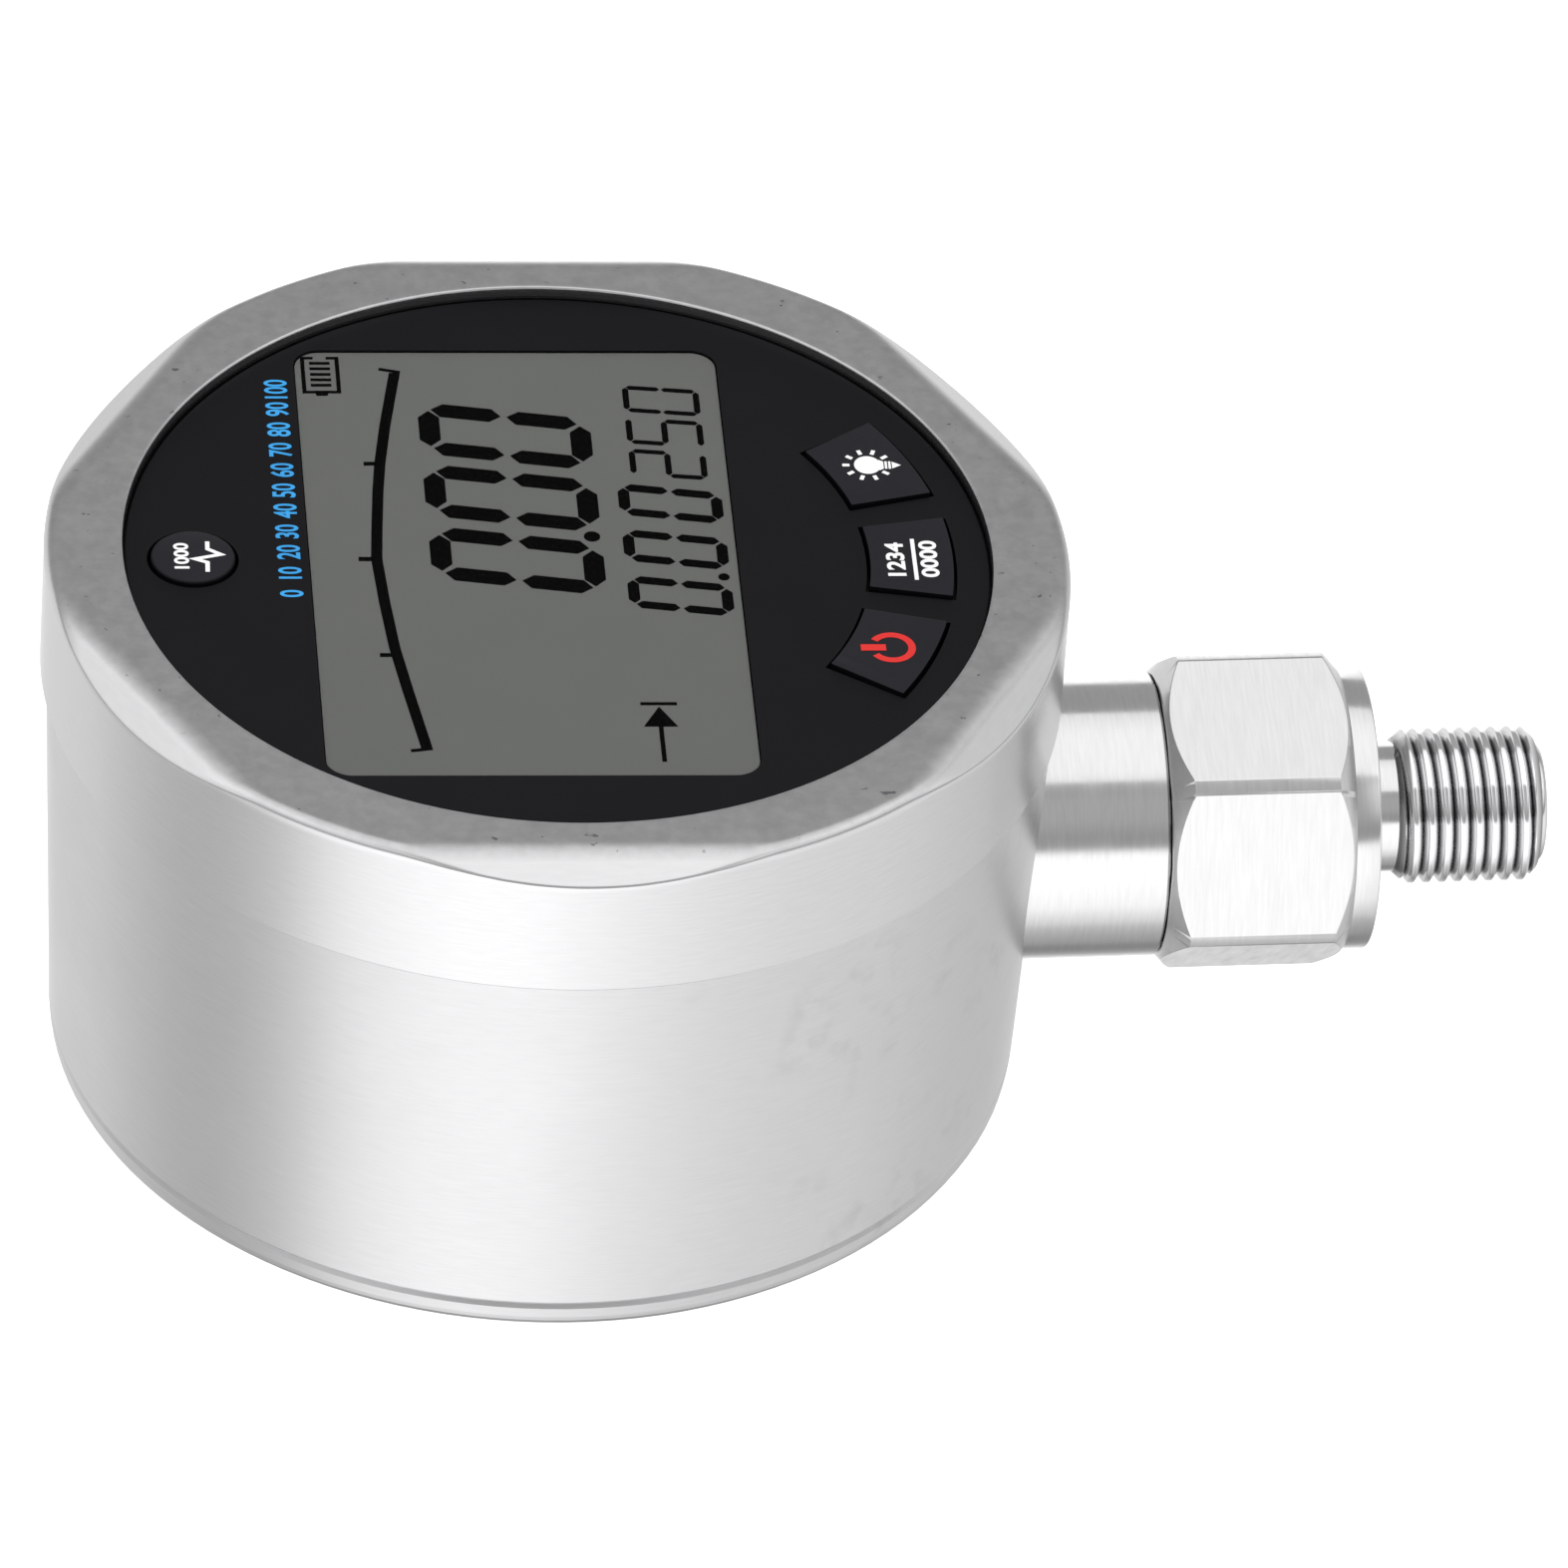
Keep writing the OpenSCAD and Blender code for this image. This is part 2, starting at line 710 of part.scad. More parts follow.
module battery_holder() {
    plate_z = board_under - holder_plate_t;
    color("#3b3b40") turned() difference() {
        union() {
            translate([holder_x, 0, plate_z]) block(holder_w, holder_l, holder_plate_t);
            for (side = [-1, 1]) {
                translate([holder_x + side * 3 / 2 * cell_pitch, 0, holder_bottom])
                    block(holder_wall, holder_l, plate_z - holder_bottom + seat_gap);
                translate([holder_x + side / 2 * cell_pitch, 0, rib_bottom])
                    block(holder_wall, holder_l, plate_z - rib_bottom + seat_gap);
            }
            at_holder_screws() translate([0, 0, board_under - holder_screw_l - holder_boss_floor])
                cylinder(r = holder_boss_r, h = holder_screw_l + holder_boss_floor, $fn = 48);
            for (side = [-1, 1]) {
                translate([holder_x, side * (holder_l - holder_wall) / 2, holder_bottom])
                    block(holder_w, holder_wall, plate_z - holder_bottom + seat_gap);
                translate([holder_x, side * cover_boss_y, holder_bottom])
                    cylinder(r = cover_boss_r, h = cover_boss_h, $fn = 48);
            }
        }
        for (side = [-1, 1])
            translate([holder_x, side * cover_boss_y, holder_bottom - over])
                cylinder(r = screw_r + seat_gap, h = cover_boss_h, $fn = 32);
        at_holder_screws() translate([0, 0, board_under - holder_screw_l])
            cylinder(r = screw_r + seat_gap, h = holder_screw_l + over, $fn = 32);
    }
}

module holder_screws() {
    color(nickel) turned() at_holder_screws()
        translate([0, 0, board_top + screw_head_h]) mirror([0, 0, 1])
            small_screw(board_t + holder_screw_l * screw_bite_share);
}

module battery(index) {
    seam = 0.3;
    color("#b8863b") turned() translate([cell_xs[index], 0, cell_z]) rotate([0, 0, cell_turns[index]])
        translate([0, cell_y, 0]) rotate([90, 0, 0]) {
            translate([0, 0, -cell_l / 2]) cylinder(r = cell_r, h = cell_l);
            translate([0, 0, -cell_l / 2 - nub_l]) cylinder(r = nub_r, h = nub_l + seam, $fn = 48);
        }
}

module battery_1() {
    battery(0);
}

module battery_2() {
    battery(1);
}

module battery_3() {
    battery(2);
}

// Places of the contact plates: at both ends of each cell
module at_cell_ends(end) {
    for (i = [0:2])
        translate([cell_xs[i], 0, cell_z]) rotate([0, 0, cell_turns[i] + (end > 0 ? 0 : 180)])
            translate([0, holder_inner_l / 2, 0]) rotate([90, 0, 0]) children();
}

module contact_plate() {
    block(2 * cell_r * contact_share, 2 * cell_r * contact_share, contact_t);
}

module battery_springs() {
    spring_end_r = cell_r / 2;
    color(nickel) turned() at_cell_ends(-1) {
        translate([0, 0, contact_t - seat_gap])
            cylinder(r1 = cell_r * contact_share, r2 = spring_end_r, h = spring_l, $fn = 48);
        contact_plate();
    }
}

module battery_contacts() {
    color(nickel) turned() at_cell_ends(1) contact_plate();
}

module battery_cover() {
    color("#3b3b40") turned() translate([holder_x, 0, holder_bottom - cover_t]) difference() {
        union() {
            block(holder_w, holder_l, cover_t);
            for (side = [-1, 1])
                translate([0, side * cover_boss_y, 0]) cylinder(r = cover_boss_r, h = cover_t, $fn = 48);
        }
        for (side = [-1, 1])
            translate([0, side * cover_boss_y, -over])
                cylinder(r = screw_r + seat_gap, h = cover_t + 2 * over, $fn = 32);
    }
}

module cover_screws() {
    color(nickel) turned() for (side = [-1, 1])
        translate([holder_x, side * cover_boss_y, holder_bottom - cover_t - screw_head_h])
            small_screw(cover_t + (cover_boss_h - over) * screw_bite_share);
}

module neck_sleeve() {
    color(bright_steel) along_stem(neck_start_x) difference() {
        union() {
            cylinder(r = neck_r, h = neck_l - neck_chamfer);
            translate([0, 0, neck_l - neck_chamfer])
                cylinder(r1 = neck_r, r2 = neck_r - neck_chamfer, h = neck_chamfer);
        }
        translate([0, 0, -over]) cylinder(r = neck_r - neck_wall, h = neck_l + 2 * over);
    }
}

module neck_gasket() {
    color(dark_rubber) along_stem(neck_end_x)
        tube(neck_r - neck_gasket_inset, neck_r - neck_wall, neck_gasket_t);
}

module pressure_fitting() {
    hex_round = [
        [0, 0],
        [hex_face_r, 0],
        [hex_corner_r, hex_chamfer_l],
        [hex_corner_r, hex_l - hex_chamfer_l],
        [hex_face_r, hex_l],
        [0, hex_l]
    ];
    stud = [
        [0, -seat_gap],
        [shoulder_r, -seat_gap],
        [shoulder_r, shoulder_l],
        [relief_r, shoulder_l],
        [relief_r, thread_start_x - hex_end_x - (thread_r - relief_r)],
        [thread_r, thread_start_x - hex_end_x],
        [thread_r, thread_end_x - hex_end_x - thread_chamfer],
        [thread_r - thread_chamfer, thread_end_x - hex_end_x],
        [pilot_r, thread_end_x - hex_end_x],
        [pilot_r, tip_x - hex_end_x],
        [0, tip_x - hex_end_x]
    ];
    color(steel) difference() {
        union() {
            along_stem(hex_start_x) intersection() {
                rotate([0, 0, hex_turn]) cylinder(r = hex_af / sqrt(3), h = hex_l, $fn = 6);
                rotate_extrude() polygon(hex_round);
            }
            along_stem(hex_end_x) rotate_extrude() polygon(stud);
            along_stem(spigot_start_x) cylinder(r = spigot_r, h = hex_start_x - spigot_start_x + seat_gap);
        }
        along_stem(spigot_start_x - over) cylinder(r = pocket_r, h = pocket_l + over);
        along_stem(spigot_start_x) cylinder(r = port_r, h = tip_x - spigot_start_x + over, $fn = 48);
    }
}

module sensor_capsule() {
    color(nickel) {
        along_stem(capsule_start_x) cylinder(r = pocket_r - sensor_gap, h = capsule_l);
        along_stem(capsule_rear_x) cylinder(r = capsule_boss_r, h = capsule_boss_l + seat_gap);
    }
}

module sensor_o_ring() {
    color(dark_rubber) along_stem(pocket_end_x - sensor_ring_t / 2)
        o_ring(sensor_ring_r, sensor_ring_t / 2 - seat_gap / 2);
}

module sensor_retainer() {
    color(nickel) along_stem(spigot_start_x)
        tube(pocket_r - seat_gap, capsule_boss_r + sensor_gap, capsule_start_x - spigot_start_x);
}

module board_socket() {
    color("#efece2") translate([plug_x, 0, board_under - socket_h]) block(socket_w, socket_l, socket_h);
}

module sensor_plug() {
    color("#e4e0d4") translate([plug_x, 0, plug_bottom])
        block(socket_w - 2 * plug_margin, socket_l - 2 * plug_margin, plug_h);
}

module sensor_cable() {
    color("#8c2f2a") {
        translate([plug_x, 0, stem_z + cable_bend])
            cylinder(r = cable_r, h = plug_bottom - stem_z - cable_bend, $fn = 32);
        translate([plug_x + cable_bend, 0, stem_z + cable_bend]) rotate([90, 0, 0]) rotate([0, 0, 180])
            rotate_extrude(angle = 90) translate([cable_bend, 0]) circle(r = cable_r, $fn = 32);
        along_stem(plug_x + cable_bend)
            cylinder(r = cable_r, h = capsule_rear_x - plug_x - cable_bend, $fn = 32);
    }
}

rear_case();
case_o_ring();
bezel_ring();
bezel_gasket();
front_panel();
display_lens();
lcd_glass();
lcd_backlight();
lcd_carrier();
lcd_strip_connectors();
backlight_leds();
main_board();
processor_chip();
converter_chip();
clock_crystal();
key_light();
key_unit();
key_power();
key_peak();
plunger_light();
plunger_unit();
plunger_power();
plunger_peak();
switch_light();
switch_unit();
switch_power();
switch_peak();
panel_screws();
battery_holder();
holder_screws();
battery_1();
battery_2();
battery_3();
battery_springs();
battery_contacts();
battery_cover();
cover_screws();
neck_sleeve();
neck_gasket();
pressure_fitting();
sensor_capsule();
sensor_o_ring();
sensor_retainer();
board_socket();
sensor_plug();
sensor_cable();
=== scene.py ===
import math

import bmesh
import bpy
from mathutils import Euler, Matrix, Vector


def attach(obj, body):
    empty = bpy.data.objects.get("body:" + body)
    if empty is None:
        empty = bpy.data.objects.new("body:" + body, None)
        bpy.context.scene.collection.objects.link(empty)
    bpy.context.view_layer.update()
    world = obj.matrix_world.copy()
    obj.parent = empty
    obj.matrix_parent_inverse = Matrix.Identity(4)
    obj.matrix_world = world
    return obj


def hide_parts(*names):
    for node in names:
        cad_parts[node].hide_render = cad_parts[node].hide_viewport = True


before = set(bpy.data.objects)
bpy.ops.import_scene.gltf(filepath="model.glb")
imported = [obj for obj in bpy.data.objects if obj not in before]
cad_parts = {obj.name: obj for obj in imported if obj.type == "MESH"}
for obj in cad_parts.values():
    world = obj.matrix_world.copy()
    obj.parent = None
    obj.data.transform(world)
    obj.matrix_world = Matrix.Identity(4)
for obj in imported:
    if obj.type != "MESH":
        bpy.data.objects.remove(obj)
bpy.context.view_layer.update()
mm = 0.001
print("frame: loaded")

# Camera at the photograph's angle, and the studio round the object, in metres
camera = {
    "place": (-0.14635, -1.03294, 0.85568),
    "turn": (51.46, -3.239, -6.585),  # degrees
    "lens": 366.2,
    "sensor": 36.0,
    "farEnd": 50.0,
}
studio = {
    "floorSize": 12.0,
    "floorColour": "#c8c8c8",
    "floorRoughness": 0.9,
    "floorGlow": 0.93,
    "softboxHeight": 1.0,
    "softboxWide": 1.7,
    "softboxDeep": 1.25,
    "softboxShift": 0.16,
    "softboxPower": 5.8,
    "brightness": 2.12,
    # share of that brightness by height (-1 straight down, 0 level, 1 straight up) ...
    "heights": ((-0.97, 0.42), (-0.9, 0.5), (-0.85, 0.66), (-0.66, 0.92), (-0.3, 1.0), (0.1, 1.0),
                (0.2, 0.23), (0.82, 0.23), (0.95, 0.33)),
    # ... and, up to a little over the horizon, by direction (degrees from +X, counterclockwise from above)
    "directions": ((-180, 0.385), (-174, 0.39), (-158, 0.5), (-142, 0.82), (-128, 0.93), (-114, 1.0),
                   (-98, 0.99), (-82, 0.87), (-68, 0.78), (-54, 0.7), (-38, 0.64), (-22, 0.61), (-8, 0.57),
                   (6, 0.51), (22, 0.45), (38, 0.42), (52, 0.4), (68, 0.5), (84, 0.86), (100, 0.47),
                   (138, 0.54), (172, 0.39)),
    "directionsFade": (0.1, 0.2),
    # bright panels at the sides: how much they add by direction, and by height
    "panelsRound": ((-180, 0.42), (-130, 0.4), (-108, 0.06), (-72, 0.06), (-50, 0.4), (15, 0.42),
                    (52, 0.0), (128, 0.0), (150, 0.36)),
    "panelsUp": ((0.34, 0.0), (0.54, 1.0), (0.75, 1.0), (0.9, 0.0)),
}


def hexColour(code):
    parts = [int(code[i:i + 2], 16) / 255 for i in (1, 3, 5)]
    return [c / 12.92 if c <= 0.04045 else ((c + 0.055) / 1.055) ** 2.4 for c in parts] + [1.0]


def addNode(tree, kind, settings=None, links=None, stops=()):
    # Sockets go by name, or by number where names repeat: of a Mix node's sockets, 0 is the factor, 2 and 3
    # are numbers and 6 and 7 colours, and its outputs 0 and 2 give them. The stops are a colour ramp's.
    node = tree.nodes.new(kind)
    for name, value in (settings or {}).items():
        if isinstance(name, int) or name in node.inputs:
            node.inputs[name].default_value = value
        else:
            setattr(node, name, value)
    for name, source in (links or {}).items():
        tree.links.new(source, node.inputs[name])
    for i, (position, colour) in enumerate(stops):
        stop = node.color_ramp.elements[i] if i < 2 else node.color_ramp.elements.new(position)
        stop.position = position
        stop.color = colour
    return node


def startMaterial(name, settings):
    material = bpy.data.materials.new(name)
    material.use_nodes = True
    shader = material.node_tree.nodes["Principled BSDF"]
    for socket, value in settings.items():
        shader.inputs[socket].default_value = value
    return material, material.node_tree, shader


def buildCamera():
    data = bpy.data.cameras.new("photoCamera")
    data.lens = camera["lens"]
    data.sensor_width = camera["sensor"]
    data.clip_end = camera["farEnd"]
    seer = bpy.data.objects.new("photoCamera", data)
    seer.location = camera["place"]
    seer.rotation_euler = Euler([math.radians(a) for a in camera["turn"]])
    bpy.context.scene.collection.objects.link(seer)
    bpy.context.scene.camera = seer


def buildSurroundings():
    world = bpy.data.worlds.new("studio")
    bpy.context.scene.world = world
    world.use_nodes = True
    tree = world.node_tree
    direction = addNode(tree, "ShaderNodeTexCoord")
    parts = addNode(tree, "ShaderNodeSeparateXYZ", links={"Vector": direction.outputs["Generated"]})
    height = addNode(tree, "ShaderNodeMapRange", {"From Min": -1.0}, {"Value": parts.outputs["Z"]})
    angle = addNode(tree, "ShaderNodeMath", {"operation": "ARCTAN2"},
                    {0: parts.outputs["Y"], 1: parts.outputs["X"]})
    turn = addNode(tree, "ShaderNodeMapRange", {"From Min": -math.pi, "From Max": math.pi},
                   {"Value": angle.outputs["Value"]})
    light = {}
    for name, along, start, end in (("heights", height, -1, 1), ("panelsUp", height, -1, 1),
                                    ("directions", turn, -180, 180), ("panelsRound", turn, -180, 180)):
        stops = [((at - start) / (end - start), [shade] * 3 + [1]) for at, shade in studio[name]]
        ramp = addNode(tree, "ShaderNodeValToRGB", links={"Fac": along.outputs["Result"]}, stops=stops)
        light[name] = ramp.outputs["Color"]
    fadeStart, fadeEnd = studio["directionsFade"]
    above = addNode(tree, "ShaderNodeMapRange", {"From Min": fadeStart, "From Max": fadeEnd},
                    {"Value": parts.outputs["Z"]})
    share = addNode(tree, "ShaderNodeMix", {"data_type": "FLOAT", 3: 1.0},
                    {0: above.outputs["Result"], 2: light["directions"]})
    glow = addNode(tree, "ShaderNodeMath", {"operation": "MULTIPLY"},
                   {0: light["heights"], 1: share.outputs[0]})
    total = addNode(tree, "ShaderNodeMath", {"operation": "MULTIPLY_ADD"},
                    {0: light["panelsRound"], 1: light["panelsUp"], 2: glow.outputs["Value"]})
    background = tree.nodes["Background"]
    tree.links.new(total.outputs["Value"], background.inputs["Color"])
    background.inputs["Strength"].default_value = studio["brightness"]


def buildStudio():
    scene = bpy.context.scene
    scene.view_settings.view_transform = "Standard"
    light = bpy.data.lights.new("softbox", "AREA")
    light.shape = "RECTANGLE"
    light.size = studio["softboxWide"]
    light.size_y = studio["softboxDeep"]
    light.energy = studio["softboxPower"]
    box = bpy.data.objects.new("softbox", light)
    box.location = (0, studio["softboxShift"], studio["softboxHeight"])
    scene.collection.objects.link(box)

    bm = bmesh.new()
    bmesh.ops.create_grid(bm, x_segments=1, y_segments=1, size=studio["floorSize"] / 2)
    mesh = bpy.data.meshes.new("floor")
    bm.to_mesh(mesh)
    bm.free()
    floor = bpy.data.objects.new("floor", mesh)
    scene.collection.objects.link(floor)
    floor.visible_glossy = False  # mirrors see the surroundings instead
    # Matt white board, lit a little from below
    mesh.materials.append(startMaterial("paintedFloor", {
        "Base Color": hexColour(studio["floorColour"]), "Roughness": studio["floorRoughness"],
        "Specular IOR Level": 0, "Emission Color": (1, 1, 1, 1), "Emission Strength": studio["floorGlow"],
    })[0])


buildCamera()
buildSurroundings()
buildStudio()
print("studio: camera, floor and softbox are in place")

# Finishes. Patterns are on Object coordinates, and their sizes and depths are in real millimetres: three
# sizes are along X, Y and Z. Two colours or roughnesses are the least and the most of it.
steels = {
    # 304 stainless, drawn and brushed round the wall: fine level strokes, soft clouds and a few dull marks.
    # Real strokes are finer and wouldn't show. The marks are spots inside groups, and each of the two has
    # its size, its detail, and the noise values between which it grows from none to full.
    "caseSteel": {"name": "brushedStainlessCase", "colours": ("#c0c0c1", "#c5c5c6"),
                  "roughness": (0.28, 0.33), "strokes": (2.4, 2.4, 0.13), "depth": 0.0006,
                  "clouds": (9.0, 9.0, 9.0),
                  "marks": {"colour": "#6e6e70", "strength": 0.16, "reach": (4.0, 16.0),
                            "shift": (0.3, 0.7, 0.1), "spots": (2.4, 9.0, 0.5, 0.72),
                            "groups": (11.0, 2.0, 0.48, 0.62)}},
    # 304 stainless, turned round the stem's axis: bright, with fine rings
    "turnedSteel": {"name": "turnedStainlessNeck", "colours": ("#c4c4c4", "#c9c9c9"),
                    "roughness": (0.13, 0.19), "strokes": (0.22, 2.5, 2.5), "depth": 0.003,
                    "clouds": (1.2, 6.0, 6.0)},
    # 304 stainless, milled flat: fine cutter lines across the stem
    "milledSteel": {"name": "milledStainlessHexagon", "colours": ("#c3c3c3", "#c8c8c8"),
                    "roughness": (0.2, 0.26), "strokes": (0.25, 3.0, 3.0), "depth": 0.003,
                    "clouds": (0.8, 5.0, 5.0)},
    # Steel, nickel-plated: smooth, and a little warm beside the stainless
    "nickel": {"name": "nickelPlatedSteel", "colours": ("#c9c6bd", "#dcd9d0"),
               "roughness": (0.16, 0.26), "strokes": (0.5, 0.5, 0.5), "depth": 0.001,
               "clouds": (2.0, 2.0, 2.0)},
}
bezelFinish = {
    "top": (49.45, 49.97),  # heights: satin up to the first, sanded from the second
    "satin": ("#c1c1c2", "#c4c4c5"),
    "satinRoughness": 0.24,
    "sanded": ("#a7a7a8", "#b0b0b1"),
    "sandedRoughness": (0.29, 0.35),
    "specks": "#77777a",
    "strokes": (2.0, 2.0, 0.2),
    # size and detail of the sanding's grain, its clouds, its specks and its lighter patches
    "patterns": ((0.3, 3.0), (2.5, 3.0), (1.1, 3.0), (0.9, 5.0)),
    "depth": 0.0016,
    "satinDepth": 0.25,  # as a share of that
}
threadFinish = {
    "average": "#c8c8c8",
    # the valleys' colour is painted shade
    "valleyShade": "#7c7c7d",
    "crest": "#d8d8d9",
    "radii": (5.7, 6.3),  # painted valley shade up to the first, crest colour from the second
    "roughness": 0.12,
    "grain": 0.5,
    "depth": 0.004,
}
# Grain's size and depth are 0.25 and 0.004 mm, and the shine is 0.5, where no others are given
plastics = {
    # Injection-moulded ABS, matt black with a fine spark-eroded grain
    "panelPlastic": {"name": "mouldedAbsPanel", "colours": ("#07060a", "#09080c"),
                     "roughness": (0.34, 0.4), "shine": 0.11},
    # Silicone-coated ABS keys, a little lighter and bluer
    "keyPlastic": {"name": "coatedAbsKeys", "colours": ("#17161c", "#1a1920"),
                   "roughness": (0.36, 0.44), "shine": 0.16},
    # Reflective LCD behind its polariser: flat grey-green
    "lcdFilm": {"name": "reflectiveLcd", "colours": ("#646663", "#656764"), "roughness": (0.4, 0.45),
                "grain": 0.6, "depth": 0.0005, "shine": 0.2},
    # The liquid crystal's dark segments, without a gloss of their own
    "lcdInk": {"name": "lcdSegments", "colours": ("#010101", "#020202"), "roughness": (0.4, 0.5),
               "grain": 0.6, "depth": 0.0005, "shine": 0.0},
    # Screen-printed inks: matt, with a trace of the mesh
    "whiteInk": {"name": "whiteScreenInk", "colours": ("#f2f2f4", "#ffffff"), "roughness": (0.45, 0.6)},
    "blueInk": {"name": "blueScreenInk", "colours": ("#2497dc", "#2aa0e6"), "roughness": (0.45, 0.6)},
    "redInk": {"name": "redScreenInk", "colours": ("#d6130b", "#de1a10"), "roughness": (0.45, 0.6)},
    # Moulded nitrile rubber: dull and dark grey
    "rubber": {"name": "mouldedNitrile", "colours": ("#1c1c1f", "#26262a"), "roughness": (0.65, 0.8),
               "grain": 0.4, "depth": 0.01},
    # Glass-epoxy board under cured green solder mask: smooth, with slight unevenness
    "board": {"name": "solderMaskBoard", "colours": ("#17502f", "#1d5b3a"), "roughness": (0.25, 0.35),
              "grain": 1.2, "depth": 0.006},
    # Moulded nylon, natural, slightly satin
    "whiteParts": {"name": "mouldedNylon", "colours": ("#d8d8d2", "#e4e3dd"), "roughness": (0.45, 0.55)},
    # Moulded glass-filled nylon, dark grey, a little rougher
    "darkParts": {"name": "mouldedGlassNylon", "colours": ("#2b2b2f", "#37373b"),
                  "roughness": (0.5, 0.6)},
    # Extruded silicone of the strip connectors, pink and soft-looking
    "pinkRubber": {"name": "stripedSilicone", "colours": ("#b85f7e", "#d47a98"),
                   "roughness": (0.5, 0.6), "grain": 0.3},
    # Shrunk printed sleeve of a cell, smooth and plain
    "cellWrap": {"name": "printedCellSleeve", "colours": ("#a87630", "#b8863b"),
                 "roughness": (0.25, 0.35), "grain": 2.0, "depth": 0.001},
    # Extruded PVC jacket, soft sheen
    "cableJacket": {"name": "pvcCableJacket", "colours": ("#7c2925", "#8c2f2a"),
                    "roughness": (0.4, 0.5), "grain": 0.8},
    # Moulded acrylic, milky and glossy
    "guide": {"name": "acrylicLightGuide", "colours": ("#dfe3e8", "#eef1f4"), "roughness": (0.1, 0.2),
              "grain": 2.0, "depth": 0.0005},
}
lensFinish = {"colour": "#3a3b39", "alpha": 0.03, "ior": 1.49, "shine": 0.12, "roughness": (0.08, 0.14),
              "grain": 3.0}
noiseRange = {"From Min": 0.3, "From Max": 0.7}  # most of a noise's values lie between these


def grain(tree, place, sizes, detail=2.0, shift=(0, 0, 0)):
    # Noise whose cells have these sizes in mm
    scaled = addNode(tree, "ShaderNodeMapping", {"Scale": [1 / (s * mm) for s in sizes], "Location": shift},
                     {"Vector": place})
    noise = addNode(tree, "ShaderNodeTexNoise", {"Scale": 1.0, "Detail": detail},
                    {"Vector": scaled.outputs["Vector"]})
    return noise.outputs["Fac"]


def addMarks(tree, place, base, marks):
    # Faint dull marks left by handling, in groups at the side of the stem
    along = addNode(tree, "ShaderNodeSeparateXYZ", links={"Vector": place})
    start, end = marks["reach"]
    strength = addNode(tree, "ShaderNodeMapRange",
                       {"From Min": start * mm, "From Max": end * mm, "To Max": marks["strength"]},
                       {"Value": along.outputs["X"]}).outputs["Result"]
    for size, detail, low, high in (marks["spots"], marks["groups"]):
        share = addNode(tree, "ShaderNodeMapRange", {"From Min": low, "From Max": high},
                        {"Value": grain(tree, place, (size,) * 3, detail, marks["shift"])})
        strength = addNode(tree, "ShaderNodeMath", {"operation": "MULTIPLY"},
                           {0: strength, 1: share.outputs["Result"]}).outputs["Value"]
    return addNode(tree, "ShaderNodeMix", {"data_type": "RGBA", 7: hexColour(marks["colour"])},
                   {0: strength, 6: base.outputs[2]})


def makeSteel(finish):
    dark, light = [hexColour(code) for code in finish["colours"]]
    least, most = finish["roughness"]
    material, tree, shader = startMaterial(finish["name"], {"Base Color": light, "Metallic": 1.0})
    place = addNode(tree, "ShaderNodeTexCoord").outputs["Object"]
    strokes = grain(tree, place, finish["strokes"])
    tone = addNode(tree, "ShaderNodeMapRange", noiseRange, {"Value": strokes})
    base = addNode(tree, "ShaderNodeMix", {"data_type": "RGBA", 6: dark, 7: light},
                   {0: tone.outputs["Result"]})
    if "marks" in finish:
        base = addMarks(tree, place, base, finish["marks"])
    roughness = addNode(tree, "ShaderNodeMapRange", {**noiseRange, "To Min": least, "To Max": most},
                        {"Value": grain(tree, place, finish["clouds"])})
    bump = addNode(tree, "ShaderNodeBump", {"Distance": finish["depth"] * mm}, {"Height": strokes})
    tree.links.new(base.outputs[2], shader.inputs["Base Color"])
    tree.links.new(roughness.outputs["Result"], shader.inputs["Roughness"])
    tree.links.new(bump.outputs["Normal"], shader.inputs["Normal"])
    return material


